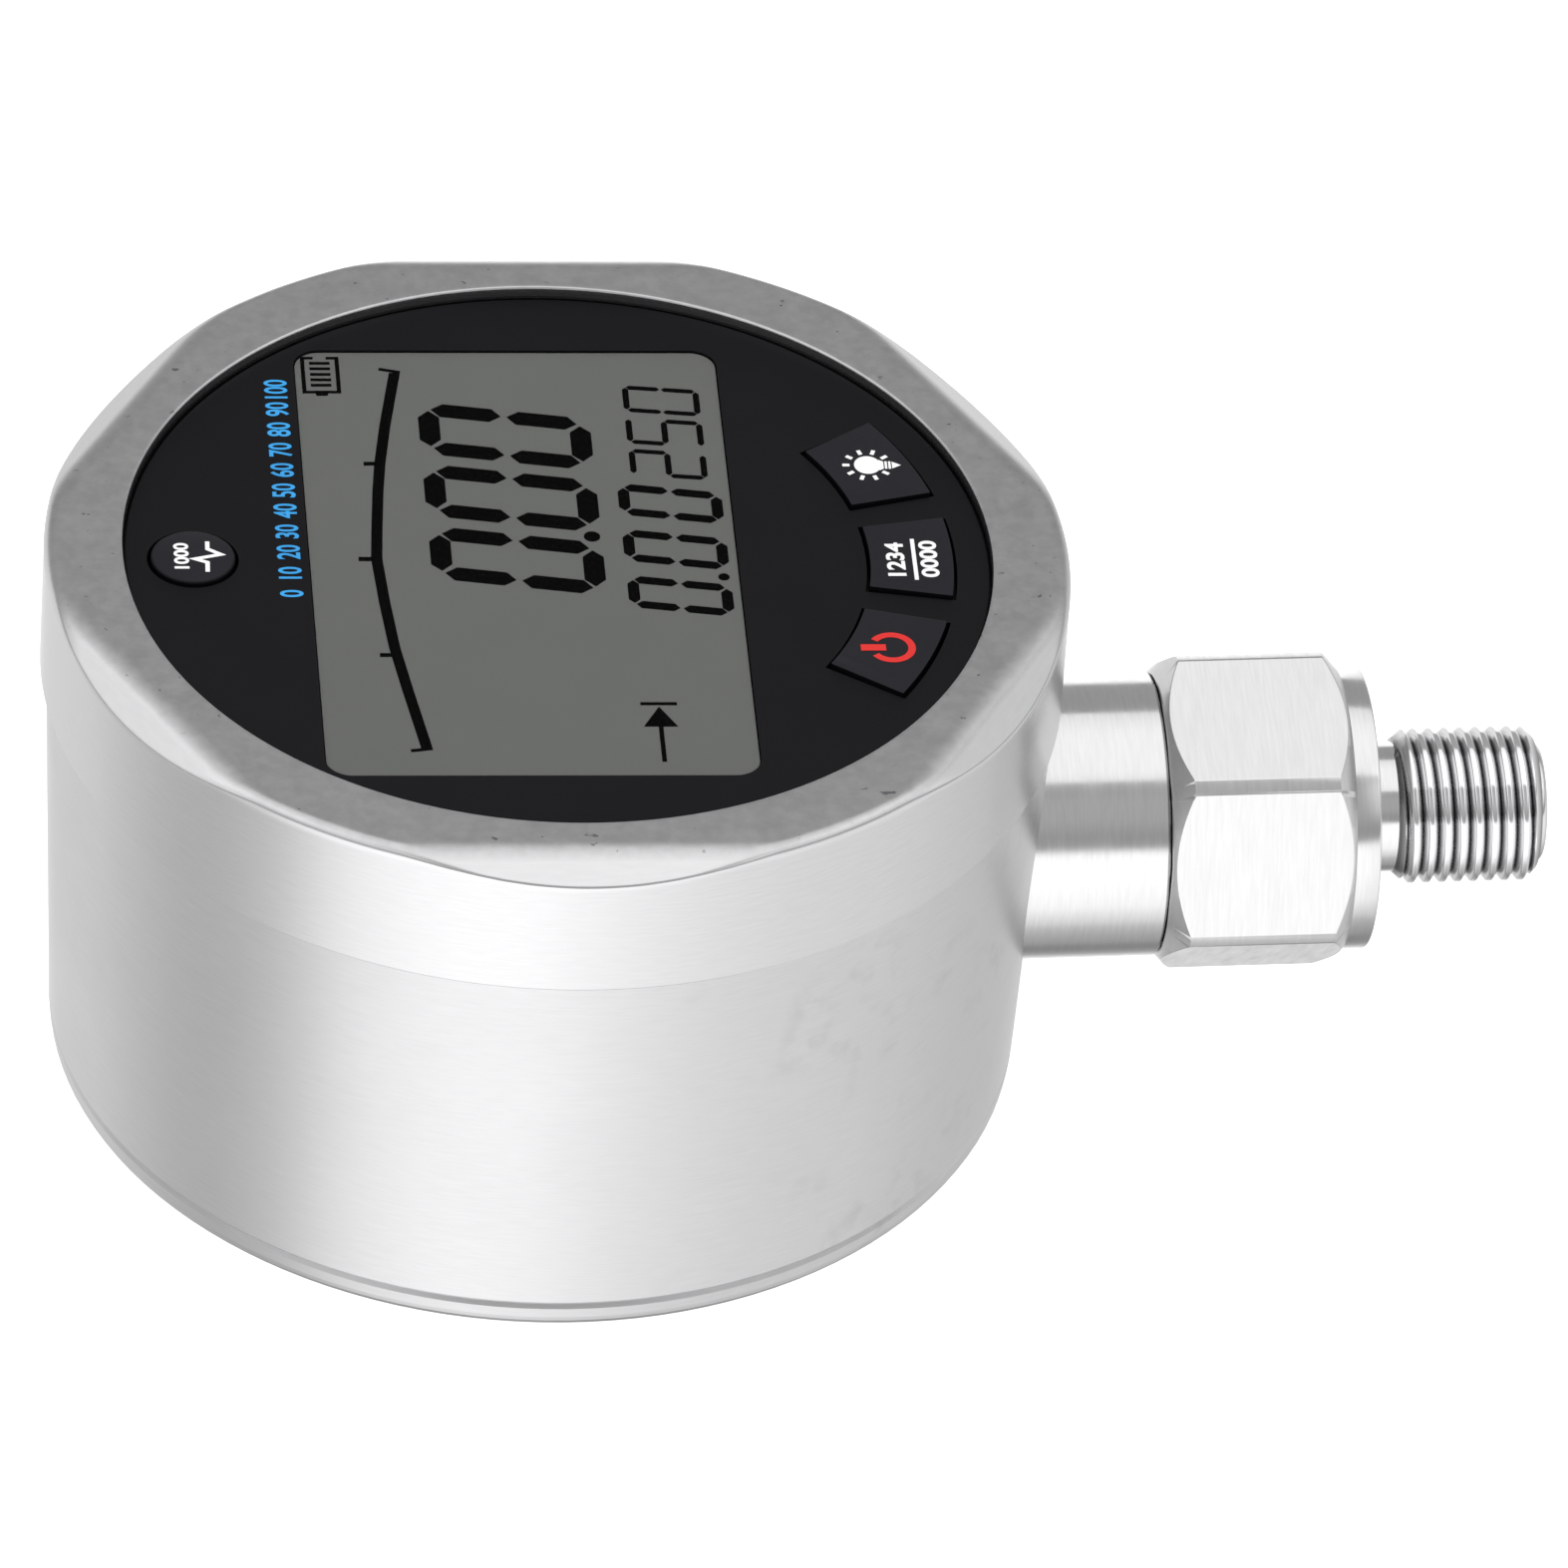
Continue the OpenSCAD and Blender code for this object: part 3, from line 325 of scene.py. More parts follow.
def makeBezelSteel():
    # 304 stainless with two finishes that fade into each other by height: the flat top has a dull even
    # grain from sanding, with a few dark specks, and below it the lathe left a brighter satin
    f = bezelFinish
    satinDark, satinLight = [hexColour(code) for code in f["satin"]]
    sandedDark, sandedLight = [hexColour(code) for code in f["sanded"]]
    material, tree, shader = startMaterial("sandedAndSatinStainlessBezel",
                                           {"Base Color": satinLight, "Metallic": 1.0})
    place = addNode(tree, "ShaderNodeTexCoord").outputs["Object"]
    height = addNode(tree, "ShaderNodeSeparateXYZ", links={"Vector": place}).outputs["Z"]
    strokes = grain(tree, place, f["strokes"])
    sanding, clouds, specks, patches = [grain(tree, place, (size,) * 3, detail)
                                        for size, detail in f["patterns"]]
    start, end = f["top"]
    shallow = f["satinDepth"] / 2
    shares = {}
    for name, pattern, low, high, least, most in (
            ("onTop", height, start * mm, end * mm, 0.0, 1.0),
            ("tone", strokes, 0.3, 0.7, 0.0, 1.0),
            ("lines", strokes, 0.0, 1.0, 0.5 - shallow, 0.5 + shallow),
            ("patches", patches, 0.35, 0.65, 0.0, 1.0),
            ("specks", specks, 0.7, 0.74, 0.0, 1.0),
            ("dullness", clouds, 0.3, 0.7, *f["sandedRoughness"])):
        share = addNode(tree, "ShaderNodeMapRange",
                        {"From Min": low, "From Max": high, "To Min": least, "To Max": most},
                        {"Value": pattern})
        shares[name] = share.outputs["Result"]
    satin = addNode(tree, "ShaderNodeMix", {"data_type": "RGBA", 6: satinDark, 7: satinLight},
                    {0: shares["tone"]})
    sanded = addNode(tree, "ShaderNodeMix", {"data_type": "RGBA", 6: sandedDark, 7: sandedLight},
                     {0: shares["patches"]})
    specked = addNode(tree, "ShaderNodeMix", {"data_type": "RGBA", 7: hexColour(f["specks"])},
                      {0: shares["specks"], 6: sanded.outputs[2]})
    base = addNode(tree, "ShaderNodeMix", {"data_type": "RGBA"},
                   {0: shares["onTop"], 6: satin.outputs[2], 7: specked.outputs[2]})
    roughness = addNode(tree, "ShaderNodeMix", {"data_type": "FLOAT", 2: f["satinRoughness"]},
                        {0: shares["onTop"], 3: shares["dullness"]})
    relief = addNode(tree, "ShaderNodeMix", {"data_type": "FLOAT"},
                     {0: shares["onTop"], 2: shares["lines"], 3: sanding})
    bump = addNode(tree, "ShaderNodeBump", {"Distance": f["depth"] * mm}, {"Height": relief.outputs[0]})
    tree.links.new(base.outputs[2], shader.inputs["Base Color"])
    tree.links.new(roughness.outputs[0], shader.inputs["Roughness"])
    tree.links.new(bump.outputs["Normal"], shader.inputs["Normal"])
    return material


def makeThreadSteel(axisHeight):
    # Rolled 304 stainless with painted shade: the base colour darkens with the radius from the bright crests
    # into the valleys, where shade falls
    f = threadFinish
    material, tree, shader = startMaterial("rolledStainlessThread", {
        "Base Color": hexColour(f["average"]), "Metallic": 1.0, "Roughness": f["roughness"]})
    place = addNode(tree, "ShaderNodeTexCoord").outputs["Object"]
    across = addNode(tree, "ShaderNodeMapping",
                     {"Location": (0, 0, -axisHeight * mm), "Scale": (0, 1, 1)}, {"Vector": place})
    radius = addNode(tree, "ShaderNodeVectorMath", {"operation": "LENGTH"},
                     {"Vector": across.outputs["Vector"]})
    low, high = f["radii"]
    onCrest = addNode(tree, "ShaderNodeMapRange", {"From Min": low * mm, "From Max": high * mm},
                      {"Value": radius.outputs["Value"]})
    # painted shade: darker base colour towards the thread's valleys
    base = addNode(tree, "ShaderNodeMix",
                   {"data_type": "RGBA", 6: hexColour(f["valleyShade"]), 7: hexColour(f["crest"])},
                   {0: onCrest.outputs["Result"]})
    bump = addNode(tree, "ShaderNodeBump", {"Distance": f["depth"] * mm},
                   {"Height": grain(tree, place, (f["grain"],) * 3, 4.0)})
    tree.links.new(base.outputs[2], shader.inputs["Base Color"])
    tree.links.new(bump.outputs["Normal"], shader.inputs["Normal"])
    return material


def makePlastic(finish):
    dark, light = [hexColour(code) for code in finish["colours"]]
    least, most = finish["roughness"]
    depth = finish.get("depth", 0.004) * mm
    material, tree, shader = startMaterial(finish["name"], {
        "Base Color": light, "Specular IOR Level": finish.get("shine", 0.5)})
    place = addNode(tree, "ShaderNodeTexCoord").outputs["Object"]
    texture = grain(tree, place, (finish.get("grain", 0.25),) * 3)
    dullness = addNode(tree, "ShaderNodeMapRange", {**noiseRange, "To Min": least, "To Max": most},
                       {"Value": texture})
    tone = addNode(tree, "ShaderNodeValToRGB", links={"Fac": grain(tree, place, (8.0, 8.0, 8.0))},
                   stops=((0.35, dark), (0.65, light)))
    bump = addNode(tree, "ShaderNodeBump", {"Distance": depth}, {"Height": texture})
    tree.links.new(tone.outputs["Color"], shader.inputs["Base Color"])
    tree.links.new(dullness.outputs["Result"], shader.inputs["Roughness"])
    tree.links.new(bump.outputs["Normal"], shader.inputs["Normal"])
    return material


def makeLens():
    # Cast acrylic window: flat and see-through, with a faint haze in its gloss
    f = lensFinish
    least, most = f["roughness"]
    material, tree, shader = startMaterial("clearAcrylicLens", {
        "Base Color": hexColour(f["colour"]), "Alpha": f["alpha"], "IOR": f["ior"],
        "Specular IOR Level": f["shine"]})
    place = addNode(tree, "ShaderNodeTexCoord").outputs["Object"]
    haze = addNode(tree, "ShaderNodeMapRange", {**noiseRange, "To Min": least, "To Max": most},
                   {"Value": grain(tree, place, (f["grain"],) * 3)})
    tree.links.new(haze.outputs["Result"], shader.inputs["Roughness"])
    return material


stemHeight = 20.2  # of the stem's axis over the rear face, in mm
materials = {key: makeSteel(finish) for key, finish in steels.items()}
for key, finish in plastics.items():
    materials[key] = makePlastic(finish)
materials["bezelSteel"] = makeBezelSteel()
materials["threadSteel"] = makeThreadSteel(stemHeight)
materials["lens"] = makeLens()
print("materials:", len(materials))


# Mesh helpers. Sizes are in mm and turn into metres here.
def pick(geometry, kind):
    return [g for g in geometry if isinstance(g, kind)]


def lathe(bm, outline, steps, axis="Z"):
    # outline is a closed loop of (radius, height), turned about the axis
    verts = []
    for radius, height in outline:
        spot = (radius, 0, height) if axis == "Z" else (height, 0, radius)
        verts.append(bm.verts.new([c * mm for c in spot]))
    edges = [bm.edges.new((verts[i], verts[(i + 1) % len(verts)])) for i in range(len(verts))]
    line = (0, 0, 1) if axis == "Z" else (1, 0, 0)
    bmesh.ops.spin(bm, geom=verts + edges, cent=(0, 0, 0), axis=line, dvec=(0, 0, 0),
                   angle=math.tau, steps=steps, use_merge=True, use_duplicate=False)
    bmesh.ops.remove_doubles(bm, verts=bm.verts[:], dist=1e-7)


def roundCorner(centre, radius, start, end, steps=5):
    return [(centre[0] + radius * math.cos(math.radians(start + (end - start) * i / steps)),
             centre[1] + radius * math.sin(math.radians(start + (end - start) * i / steps)))
            for i in range(steps + 1)]


def spaced(start, end, gap):
    # Points from start to end of an outline, without the last one
    count = max(1, round((Vector(end) - Vector(start)).length / gap))
    return [tuple(Vector(start).lerp(Vector(end), i / count)) for i in range(count)]


def cutFlat(bm, spot, normal):
    # Cuts a flat and closes it; gives the edges round it
    cut = bmesh.ops.bisect_plane(bm, geom=bm.verts[:] + bm.edges[:] + bm.faces[:], dist=1e-7,
                                 plane_co=spot, plane_no=normal, clear_outer=True)
    edges = pick(cut["geom_cut"], bmesh.types.BMEdge)
    bmesh.ops.contextual_create(bm, geom=edges)
    return edges


def finishPiece(bm, name, body, paint, replaced=(), turn=0.0, lift=0.0, sharp=38):
    bmesh.ops.recalc_face_normals(bm, faces=bm.faces[:])
    if turn:
        bmesh.ops.rotate(bm, verts=bm.verts[:], cent=(0, 0, 0),
                         matrix=Matrix.Rotation(math.radians(turn), 3, "Z"))
    if lift:
        bmesh.ops.translate(bm, verts=bm.verts[:], vec=(0, 0, lift * mm))
    for face in bm.faces:
        face.smooth = True
    for edge in bm.edges:
        if len(edge.link_faces) == 2 and edge.calc_face_angle(0) > math.radians(sharp):
            edge.smooth = False
    mesh = bpy.data.meshes.new(name)
    bm.to_mesh(mesh)
    bm.free()
    for key in paint:
        mesh.materials.append(materials[key])
    piece = bpy.data.objects.new(name, mesh)
    bpy.context.scene.collection.objects.link(piece)
    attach(piece, body)
    if replaced:
        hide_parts(*replaced)
    return piece


def evenShading(piece):
    # Keeps wide flats flat beside their narrow rounded edges
    even = piece.modifiers.new("evenShading", "WEIGHTED_NORMAL")
    even.keep_sharp = True


headTurn = -2.4  # degrees: the screwed-on head stops a little short of the stem's line

# Bezel ring
bezel = {
    "seam": 37.5,
    "top": 50.0,
    "outerRadius": 42.5,
    "boreRadius": 40.3,
    "openingRadius": 36.0,
    "lipUnderside": 48.2,
    "outerRounding": 1.0,
    "lipRounding": 0.22,
    "seamChamfer": 0.25,
    "flats": 6,
    "flatDistance": 39.65,
    "flatTilt": 31.0,
    "flatSoftness": (0.3, 0.6),  # how far from a flat's lower and upper edges the hand finishing rounds them
    "flatReach": 4.0,  # how far below the top the flats can reach
    "rings": 0.22,  # spacing of the mesh's rings
    "steps": 600,
}


def buildBezel():
    b = bezel
    outer, top, edge, gap = b["outerRadius"], b["top"], b["outerRounding"], b["rings"]
    opening, lip, low = b["openingRadius"], b["lipRounding"], b["top"] - b["flatReach"]
    outline = [(b["boreRadius"], b["seam"]), (outer - b["seamChamfer"], b["seam"]),
               (outer, b["seam"] + b["seamChamfer"])]
    outline += spaced((outer, low), (outer, top - edge), gap)
    outline += roundCorner((outer - edge, top - edge), edge, 0, 90, 8)[:-1]
    outline += spaced((outer - edge, top), (opening + lip, top), gap)
    outline += roundCorner((opening + lip, top - lip), lip, 90, 180, 6)
    outline += [(opening, b["lipUnderside"]), (b["boreRadius"], b["lipUnderside"])]
    bm = bmesh.new()
    lathe(bm, outline, b["steps"])
    tilt = math.radians(b["flatTilt"])
    least, most = b["flatSoftness"]
    upward = [min(1.0, max(0.0, 1 - (top - v.co.z / mm) / edge)) for v in bm.verts]
    softness = [(least + (most - least) * share) * mm for share in upward]
    for i in range(b["flats"]):
        a = math.tau * (i + 0.5) / b["flats"]
        out = Vector((math.cos(a), math.sin(a), 0))
        spot = out * b["flatDistance"] * mm + Vector((0, 0, top * mm))
        away = out * math.sin(tilt) + Vector((0, 0, math.cos(tilt)))
        for vert, soft in zip(bm.verts, softness):
            above = (vert.co - spot).dot(away)
            if above > -soft and vert.co.z > low * mm:
                vert.co -= away * (above if above > soft else (above + soft) ** 2 / (4 * soft))
    finishPiece(bm, "bezel", "gauge_body", ["bezelSteel"], ["bezel_ring"], headTurn)


buildBezel()
print("bezel: ring with", bezel["flats"], "flats")

# Pressure fitting, measured along the stem from the case axis
fitting = {
    "hexStart": 51.8,
    "hexEnd": 67.3,
    "hexFlat": 12.35,
    "hexCorner": 13.911,
    "hexFaceRadius": 12.0,
    "hexEndAngle": 40,
    "hexRoll": 43.0,
    "hexSoftness": 0.12,
    "rimRadius": 11.2,  # deburred rim that nearly closes the gap to the neck
    "rimReach": 0.19,
    "rimSlope": 0.1,
    "rimFoot": 0.05,
    "rimWaves": ((0.6, 5, 0.7), (0.4, 13, 0.0)),  # each a share, its waves round the rim and their start
    "rimWaveDepth": 0.05,
    "collarRadius": 11.9,
    "collarEnd": 69.4,
    "collarRounding": 0.2,
    "reliefRadius": 5.5,
    "threadStart": 73.0,
    "threadEnd": 84.1,
    "threadRadius": 6.5785,
    "threadDepth": 0.856,
    "threadPitch": 1.337,
    "threadWave": (0.06, 1.02, 0.85),  # foot, height and power: round crests, narrow valleys
    "threadTurns": 11,
    "threadPoints": 16,
    "threadSteps": 72,
    "threadChamfer": 0.9,
    "pilotRadius": 5.0,
    "pilotRounding": 0.5,
    "tip": 84.7,
    "portRadius": 2.0,
    "spigotRadius": 8.98,
    "spigotStart": 36.0,
    "steps": 144,
}


def buildHexagon():
    f = fitting
    chamfer = (f["hexCorner"] - f["hexFaceRadius"]) * math.tan(math.radians(f["hexEndAngle"]))
    rim = f["hexStart"] - f["rimReach"]
    outline = [(f["portRadius"], f["hexStart"]), (f["rimRadius"], f["hexStart"]),
               (f["rimRadius"] + f["rimSlope"], rim), (f["hexFaceRadius"] - f["rimSlope"], rim),
               (f["hexFaceRadius"] + f["rimFoot"], f["hexStart"]),
               (f["hexCorner"], f["hexStart"] + chamfer), (f["hexCorner"], f["hexEnd"] - chamfer),
               (f["hexFaceRadius"], f["hexEnd"]), (f["portRadius"], f["hexEnd"])]
    bm = bmesh.new()
    lathe(bm, outline, f["steps"], "X")
    for vert in bm.verts:
        if vert.co.x < (rim + 0.01) * mm:
            a = math.atan2(vert.co.y, vert.co.z)
            wave = sum(share * math.sin(count * a + start) for share, count, start in f["rimWaves"])
            vert.co.x += f["rimWaveDepth"] * mm * (1 + wave)
    bmesh.ops.recalc_face_normals(bm, faces=bm.faces[:])
    softEdges = []
    for i in range(6):
        a = math.radians(30 + f["hexRoll"] + 60 * i)
        out = Vector((0, math.sin(a), -math.cos(a)))
        softEdges += cutFlat(bm, out * f["hexFlat"] * mm, out)
    softEdges = [e for e in softEdges if e.is_valid]
    bmesh.ops.bevel(bm, geom=softEdges, offset=f["hexSoftness"] * mm, segments=2, profile=0.5,
                    affect="EDGES", material=-1, clamp_overlap=True)
    return bm


def buildThread():
    # One pitch of the thread's outline, swept along its helix, then held inside its end chamfers
    f = fitting
    pitch, points, turns = f["threadPitch"], f["threadPoints"], f["threadTurns"]
    foot, height, power = f["threadWave"]
    first = f["threadStart"] - 1.5 * pitch
    bm = bmesh.new()
    line = []
    for i in range(points + 1):
        wave = min(1.0, foot + height * abs(math.sin(math.pi * i / points)) ** power)
        radius = f["threadRadius"] - f["threadDepth"] * (1 - wave)
        line.append(bm.verts.new(((first + pitch * i / points) * mm, 0, radius * mm)))
    edges = [bm.edges.new((line[i], line[i + 1])) for i in range(points)]
    bmesh.ops.spin(bm, geom=line + edges, cent=(0, 0, 0), axis=(1, 0, 0),
                   dvec=(pitch * mm / f["threadSteps"], 0, 0), angle=math.tau * turns,
                   steps=f["threadSteps"] * turns, use_merge=False, use_duplicate=False)
    bmesh.ops.remove_doubles(bm, verts=bm.verts[:], dist=1e-6)
    start = f["threadStart"] - (f["threadRadius"] - f["reliefRadius"])
    for spot, way in ((start, -1), (f["threadEnd"], 1)):
        bmesh.ops.bisect_plane(bm, geom=bm.verts[:] + bm.edges[:] + bm.faces[:], dist=1e-8,
                               plane_co=(spot * mm, 0, 0), plane_no=(way, 0, 0), clear_outer=True)
    for vert in bm.verts:
        along = vert.co.x / mm
        limit = min(f["reliefRadius"] + along - start,
                    f["threadRadius"] - f["threadChamfer"] + f["threadEnd"] - along)
        radius = math.hypot(vert.co.y, vert.co.z) / mm
        if radius > limit:
            vert.co.y *= limit / radius
            vert.co.z *= limit / radius
    bmesh.ops.holes_fill(bm, edges=[e for e in bm.edges if e.is_boundary], sides=0)
    return bm


def buildCollar():
    # Collar with the relief groove, the spigot inside the neck, and the pilot
    f = fitting
    port = f["portRadius"]
    bm = bmesh.new()
    soft = f["collarRounding"]
    lathe(bm, [(port, f["hexEnd"]), (f["collarRadius"], f["hexEnd"])]
          + roundCorner((f["collarRadius"] - soft, f["collarEnd"] - soft), soft, 0, 90, 3)
          + [(f["reliefRadius"] + soft, f["collarEnd"]), (f["reliefRadius"], f["collarEnd"] + soft),
             (f["reliefRadius"], f["threadStart"]), (port, f["threadStart"])], f["steps"], "X")
    lathe(bm, [(port, f["spigotStart"]), (f["spigotRadius"], f["spigotStart"]),
               (f["spigotRadius"], f["hexStart"]), (port, f["hexStart"])], f["steps"], "X")
    soft = f["pilotRounding"]
    lathe(bm, [(port, f["threadEnd"] - 1), (f["pilotRadius"], f["threadEnd"] - 1)]
          + roundCorner((f["pilotRadius"] - soft, f["tip"] - soft), soft, 0, 90, 4)
          + [(port, f["tip"])], f["steps"], "X")
    return bm


def buildFitting():
    parts = ((buildHexagon, "fittingHexagon", "milledSteel", 38),
             (buildCollar, "fittingCollar", "turnedSteel", 38),
             (buildThread, "fittingThread", "threadSteel", 60))
    for build, name, paint, sharp in parts:
        bm = build()
        bm.transform(Matrix.Translation((0, 0, stemHeight * mm)))
        piece = finishPiece(bm, name, "gauge_body", [paint], ["pressure_fitting"], sharp=sharp)
        if name == "fittingHexagon":
            evenShading(piece)


buildFitting()
print("fitting: hexagon, collar and thread")

# Keys
keys = {
    "flangeFloor": 46.0,
    "flangeHeight": 0.7,
    "flangeWidth": 0.7,
    "top": 49.2,
    "innerRadius": 25.9,
    "outerRadius": 32.8,
    "span": 18.2,  # degrees
    "pitch": 24.6,  # degrees
    "corner": 0.45,
    "edge": 0.16,
    "roundRadius": 3.5,
    "roundPlace": -30.2,
    "levelness": 0.97,  # the least that a face's normal points up or down to get the key's colour; steeper faces get black as painted shade
}


def finishKey(bm, name, turn=0.0):
    # Level faces get the key's colour; the sides and the rounded edges get the panel's black, painted shade
    # that stands for the shadowed gap round the key
    bm.normal_update()
    for face in bm.faces:
        face.material_index = int(abs(face.normal.z) < keys["levelness"])
    finishPiece(bm, name + "Key", name + "_key", ["keyPlastic", "panelPlastic"],
                ["key_" + name], headTurn + turn, keys["flangeFloor"])


def buildSectorKey(name, index):
    k = keys
    wide = k["flangeWidth"]
    inner, outer = k["innerRadius"] - wide, k["outerRadius"] + wide
    span = math.radians(k["span"]) + 2 * wide / ((inner + outer) / 2)
    bm = bmesh.new()
    section = [(inner, 0), (outer, 0), (outer, k["flangeHeight"]), (inner, k["flangeHeight"])]
    face = bm.faces.new([bm.verts.new((r * mm, 0, z * mm)) for r, z in section])
    bmesh.ops.rotate(bm, verts=bm.verts[:], cent=(0, 0, 0), matrix=Matrix.Rotation(-span / 2, 3, "Z"))
    cap = pick(bmesh.ops.duplicate(bm, geom=[face])["geom"], bmesh.types.BMFace)
    bmesh.ops.spin(bm, geom=cap, cent=(0, 0, 0), axis=(0, 0, 1), dvec=(0, 0, 0), angle=span, steps=12,
                   use_merge=False, use_duplicate=False)
    bmesh.ops.remove_doubles(bm, verts=bm.verts[:], dist=1e-7)
    bmesh.ops.recalc_face_normals(bm, faces=bm.faces[:])
    tops = [f for f in bm.faces if f.normal.z > 0.9]
    bmesh.ops.inset_region(bm, faces=tops, thickness=wide * mm, use_even_offset=True, use_boundary=True)
    lifted = pick(bmesh.ops.extrude_face_region(bm, geom=tops)["geom"], bmesh.types.BMVert)
    bmesh.ops.delete(bm, geom=tops, context="FACES_ONLY")
    height = k["top"] - k["flangeFloor"] - k["flangeHeight"]
    bmesh.ops.translate(bm, verts=lifted, vec=(0, 0, height * mm))
    liftedSet = set(lifted)
    uprights = [e for e in bm.edges if (e.verts[0] in liftedSet) != (e.verts[1] in liftedSet)
                and e.calc_face_angle(0) > math.radians(40)]
    bmesh.ops.bevel(bm, geom=uprights, offset=k["corner"] * mm, segments=4, profile=0.5, affect="EDGES",
                    material=-1, clamp_overlap=True)
    top = (k["top"] - k["flangeFloor"]) * mm
    rim = [e for e in bm.edges if all(abs(v.co.z - top) < 1e-7 for v in e.verts) and e.calc_face_angle(0) > 1]
    bmesh.ops.bevel(bm, geom=rim, offset=k["edge"] * mm, segments=3, profile=0.5, affect="EDGES",
                    material=-1, clamp_overlap=True)
    finishKey(bm, name, index * k["pitch"])


def buildRoundKey():
    k = keys
    radius, edge = k["roundRadius"], k["edge"]
    flange = radius + k["flangeWidth"]
    height = k["top"] - k["flangeFloor"]
    bm = bmesh.new()
    lathe(bm, [(0, 0), (flange, 0), (flange, k["flangeHeight"]), (radius, k["flangeHeight"])]
          + roundCorner((radius - edge, height - edge), edge, 0, 90, 3) + [(0, height)], 96)
    bmesh.ops.translate(bm, verts=bm.verts[:], vec=(k["roundPlace"] * mm, 0, 0))
    finishKey(bm, "peak")


for name, index in (("light", 1), ("unit", 0), ("power", -1)):
    buildSectorKey(name, index)
buildRoundKey()
print("keys: three sectors and one round")


# Flat prints. Points are (x, y) in mm in the head's own directions; text runs along +Y, its top towards -X.
def thicken(bm, faces, thick):
    # Raises flat faces, with sides, and leaves the underside where it was
    raised = bmesh.ops.extrude_face_region(bm, geom=faces)["geom"]
    bmesh.ops.translate(bm, verts=pick(raised, bmesh.types.BMVert), vec=(0, 0, thick * mm))


def addPrism(bm, points, thick):
    thicken(bm, [bm.faces.new([bm.verts.new((x * mm, y * mm, 0)) for x, y in points])], thick)


def addBar(bm, start, end, width, thick, pointed=0.0):
    # A straight stroke; pointed is the length of its tapered ends
    a, b = Vector(start), Vector(end)
    way = (b - a).normalized()
    side = Vector((-way.y, way.x)) * width / 2
    inA, inB = a + way * pointed, b - way * pointed
    points = [inA - side, inB - side, inB + side, inA + side]
    if pointed:
        points = [a, inA - side, inB - side, b, inB + side, inA + side]
    addPrism(bm, points, thick)


def addLine(bm, points, width, thick):
    # One stroke through all the points, with mitred corners
    spots = [Vector(point) for point in points]
    ways = [(b - a).normalized() for a, b in zip(spots, spots[1:])]
    left, right = [], []
    for i, spot in enumerate(spots):
        before, after = ways[max(i - 1, 0)], ways[min(i, len(ways) - 1)]
        middle = (before + after).normalized()
        side = Vector((-middle.y, middle.x)) * width / 2 / max(0.35, middle.dot(after))
        left.append(spot + side)
        right.append(spot - side)
    addPrism(bm, left + right[::-1], thick)


def addDisc(bm, centre, radius, thick, squash=1.0):
    ring = bmesh.ops.create_circle(bm, cap_ends=True, radius=radius * mm, segments=32)["verts"]
    bmesh.ops.scale(bm, verts=ring, vec=(squash, 1, 1))
    bmesh.ops.translate(bm, verts=ring, vec=(centre[0] * mm, centre[1] * mm, 0))
    thicken(bm, list(ring[0].link_faces), thick)


def addArc(bm, centre, radii, arc, thick, steps=28):
    inner, outer = radii
    start, end = arc
    a = math.radians(start)
    section = [(inner, 0), (outer, 0), (outer, thick), (inner, thick)]
    verts = [bm.verts.new(((centre[0] + r * math.cos(a)) * mm, (centre[1] + r * math.sin(a)) * mm, z * mm))
             for r, z in section]
    cap = pick(bmesh.ops.duplicate(bm, geom=[bm.faces.new(verts)])["geom"], bmesh.types.BMFace)
    bmesh.ops.spin(bm, geom=cap, cent=(centre[0] * mm, centre[1] * mm, 0), axis=(0, 0, 1), dvec=(0, 0, 0),
                   angle=math.radians(end - start), steps=steps, use_merge=False, use_duplicate=False)
    bmesh.ops.remove_doubles(bm, verts=bm.verts[:], dist=1e-8)


def addNumber(bm, words, centre, height, stretch, bold, thick):
    # Plain figures that read along +Y, centred on the given point
    data = bpy.data.curves.new("figures", "FONT")
    data.body = words
    data.size = 1.0
    data.offset = bold
    data.align_x = "CENTER"
    data.align_y = "CENTER"
    maker = bpy.data.objects.new("figures", data)
    bpy.context.scene.collection.objects.link(maker)
    bpy.context.view_layer.update()
    flat = bpy.data.meshes.new_from_object(maker)
    bpy.data.objects.remove(maker)
    bpy.data.curves.remove(data)
    figures = bmesh.new()
    figures.from_mesh(flat)
    bpy.data.meshes.remove(flat)
    low = min(v.co.y for v in figures.verts)
    high = max(v.co.y for v in figures.verts)
    middle = (min(v.co.x for v in figures.verts) + max(v.co.x for v in figures.verts)) / 2
    size = height / (high - low)
    for vert in figures.verts:
        along = (vert.co.x - middle) * size * stretch
        up = (vert.co.y - (low + high) / 2) * size
        vert.co = ((centre[0] - up) * mm, (centre[1] + along) * mm, 0)
    thicken(figures, figures.faces[:], thick)
    mesh = bpy.data.meshes.new("figures")
    figures.to_mesh(mesh)
    figures.free()
    bm.from_mesh(mesh)
    bpy.data.meshes.remove(mesh)


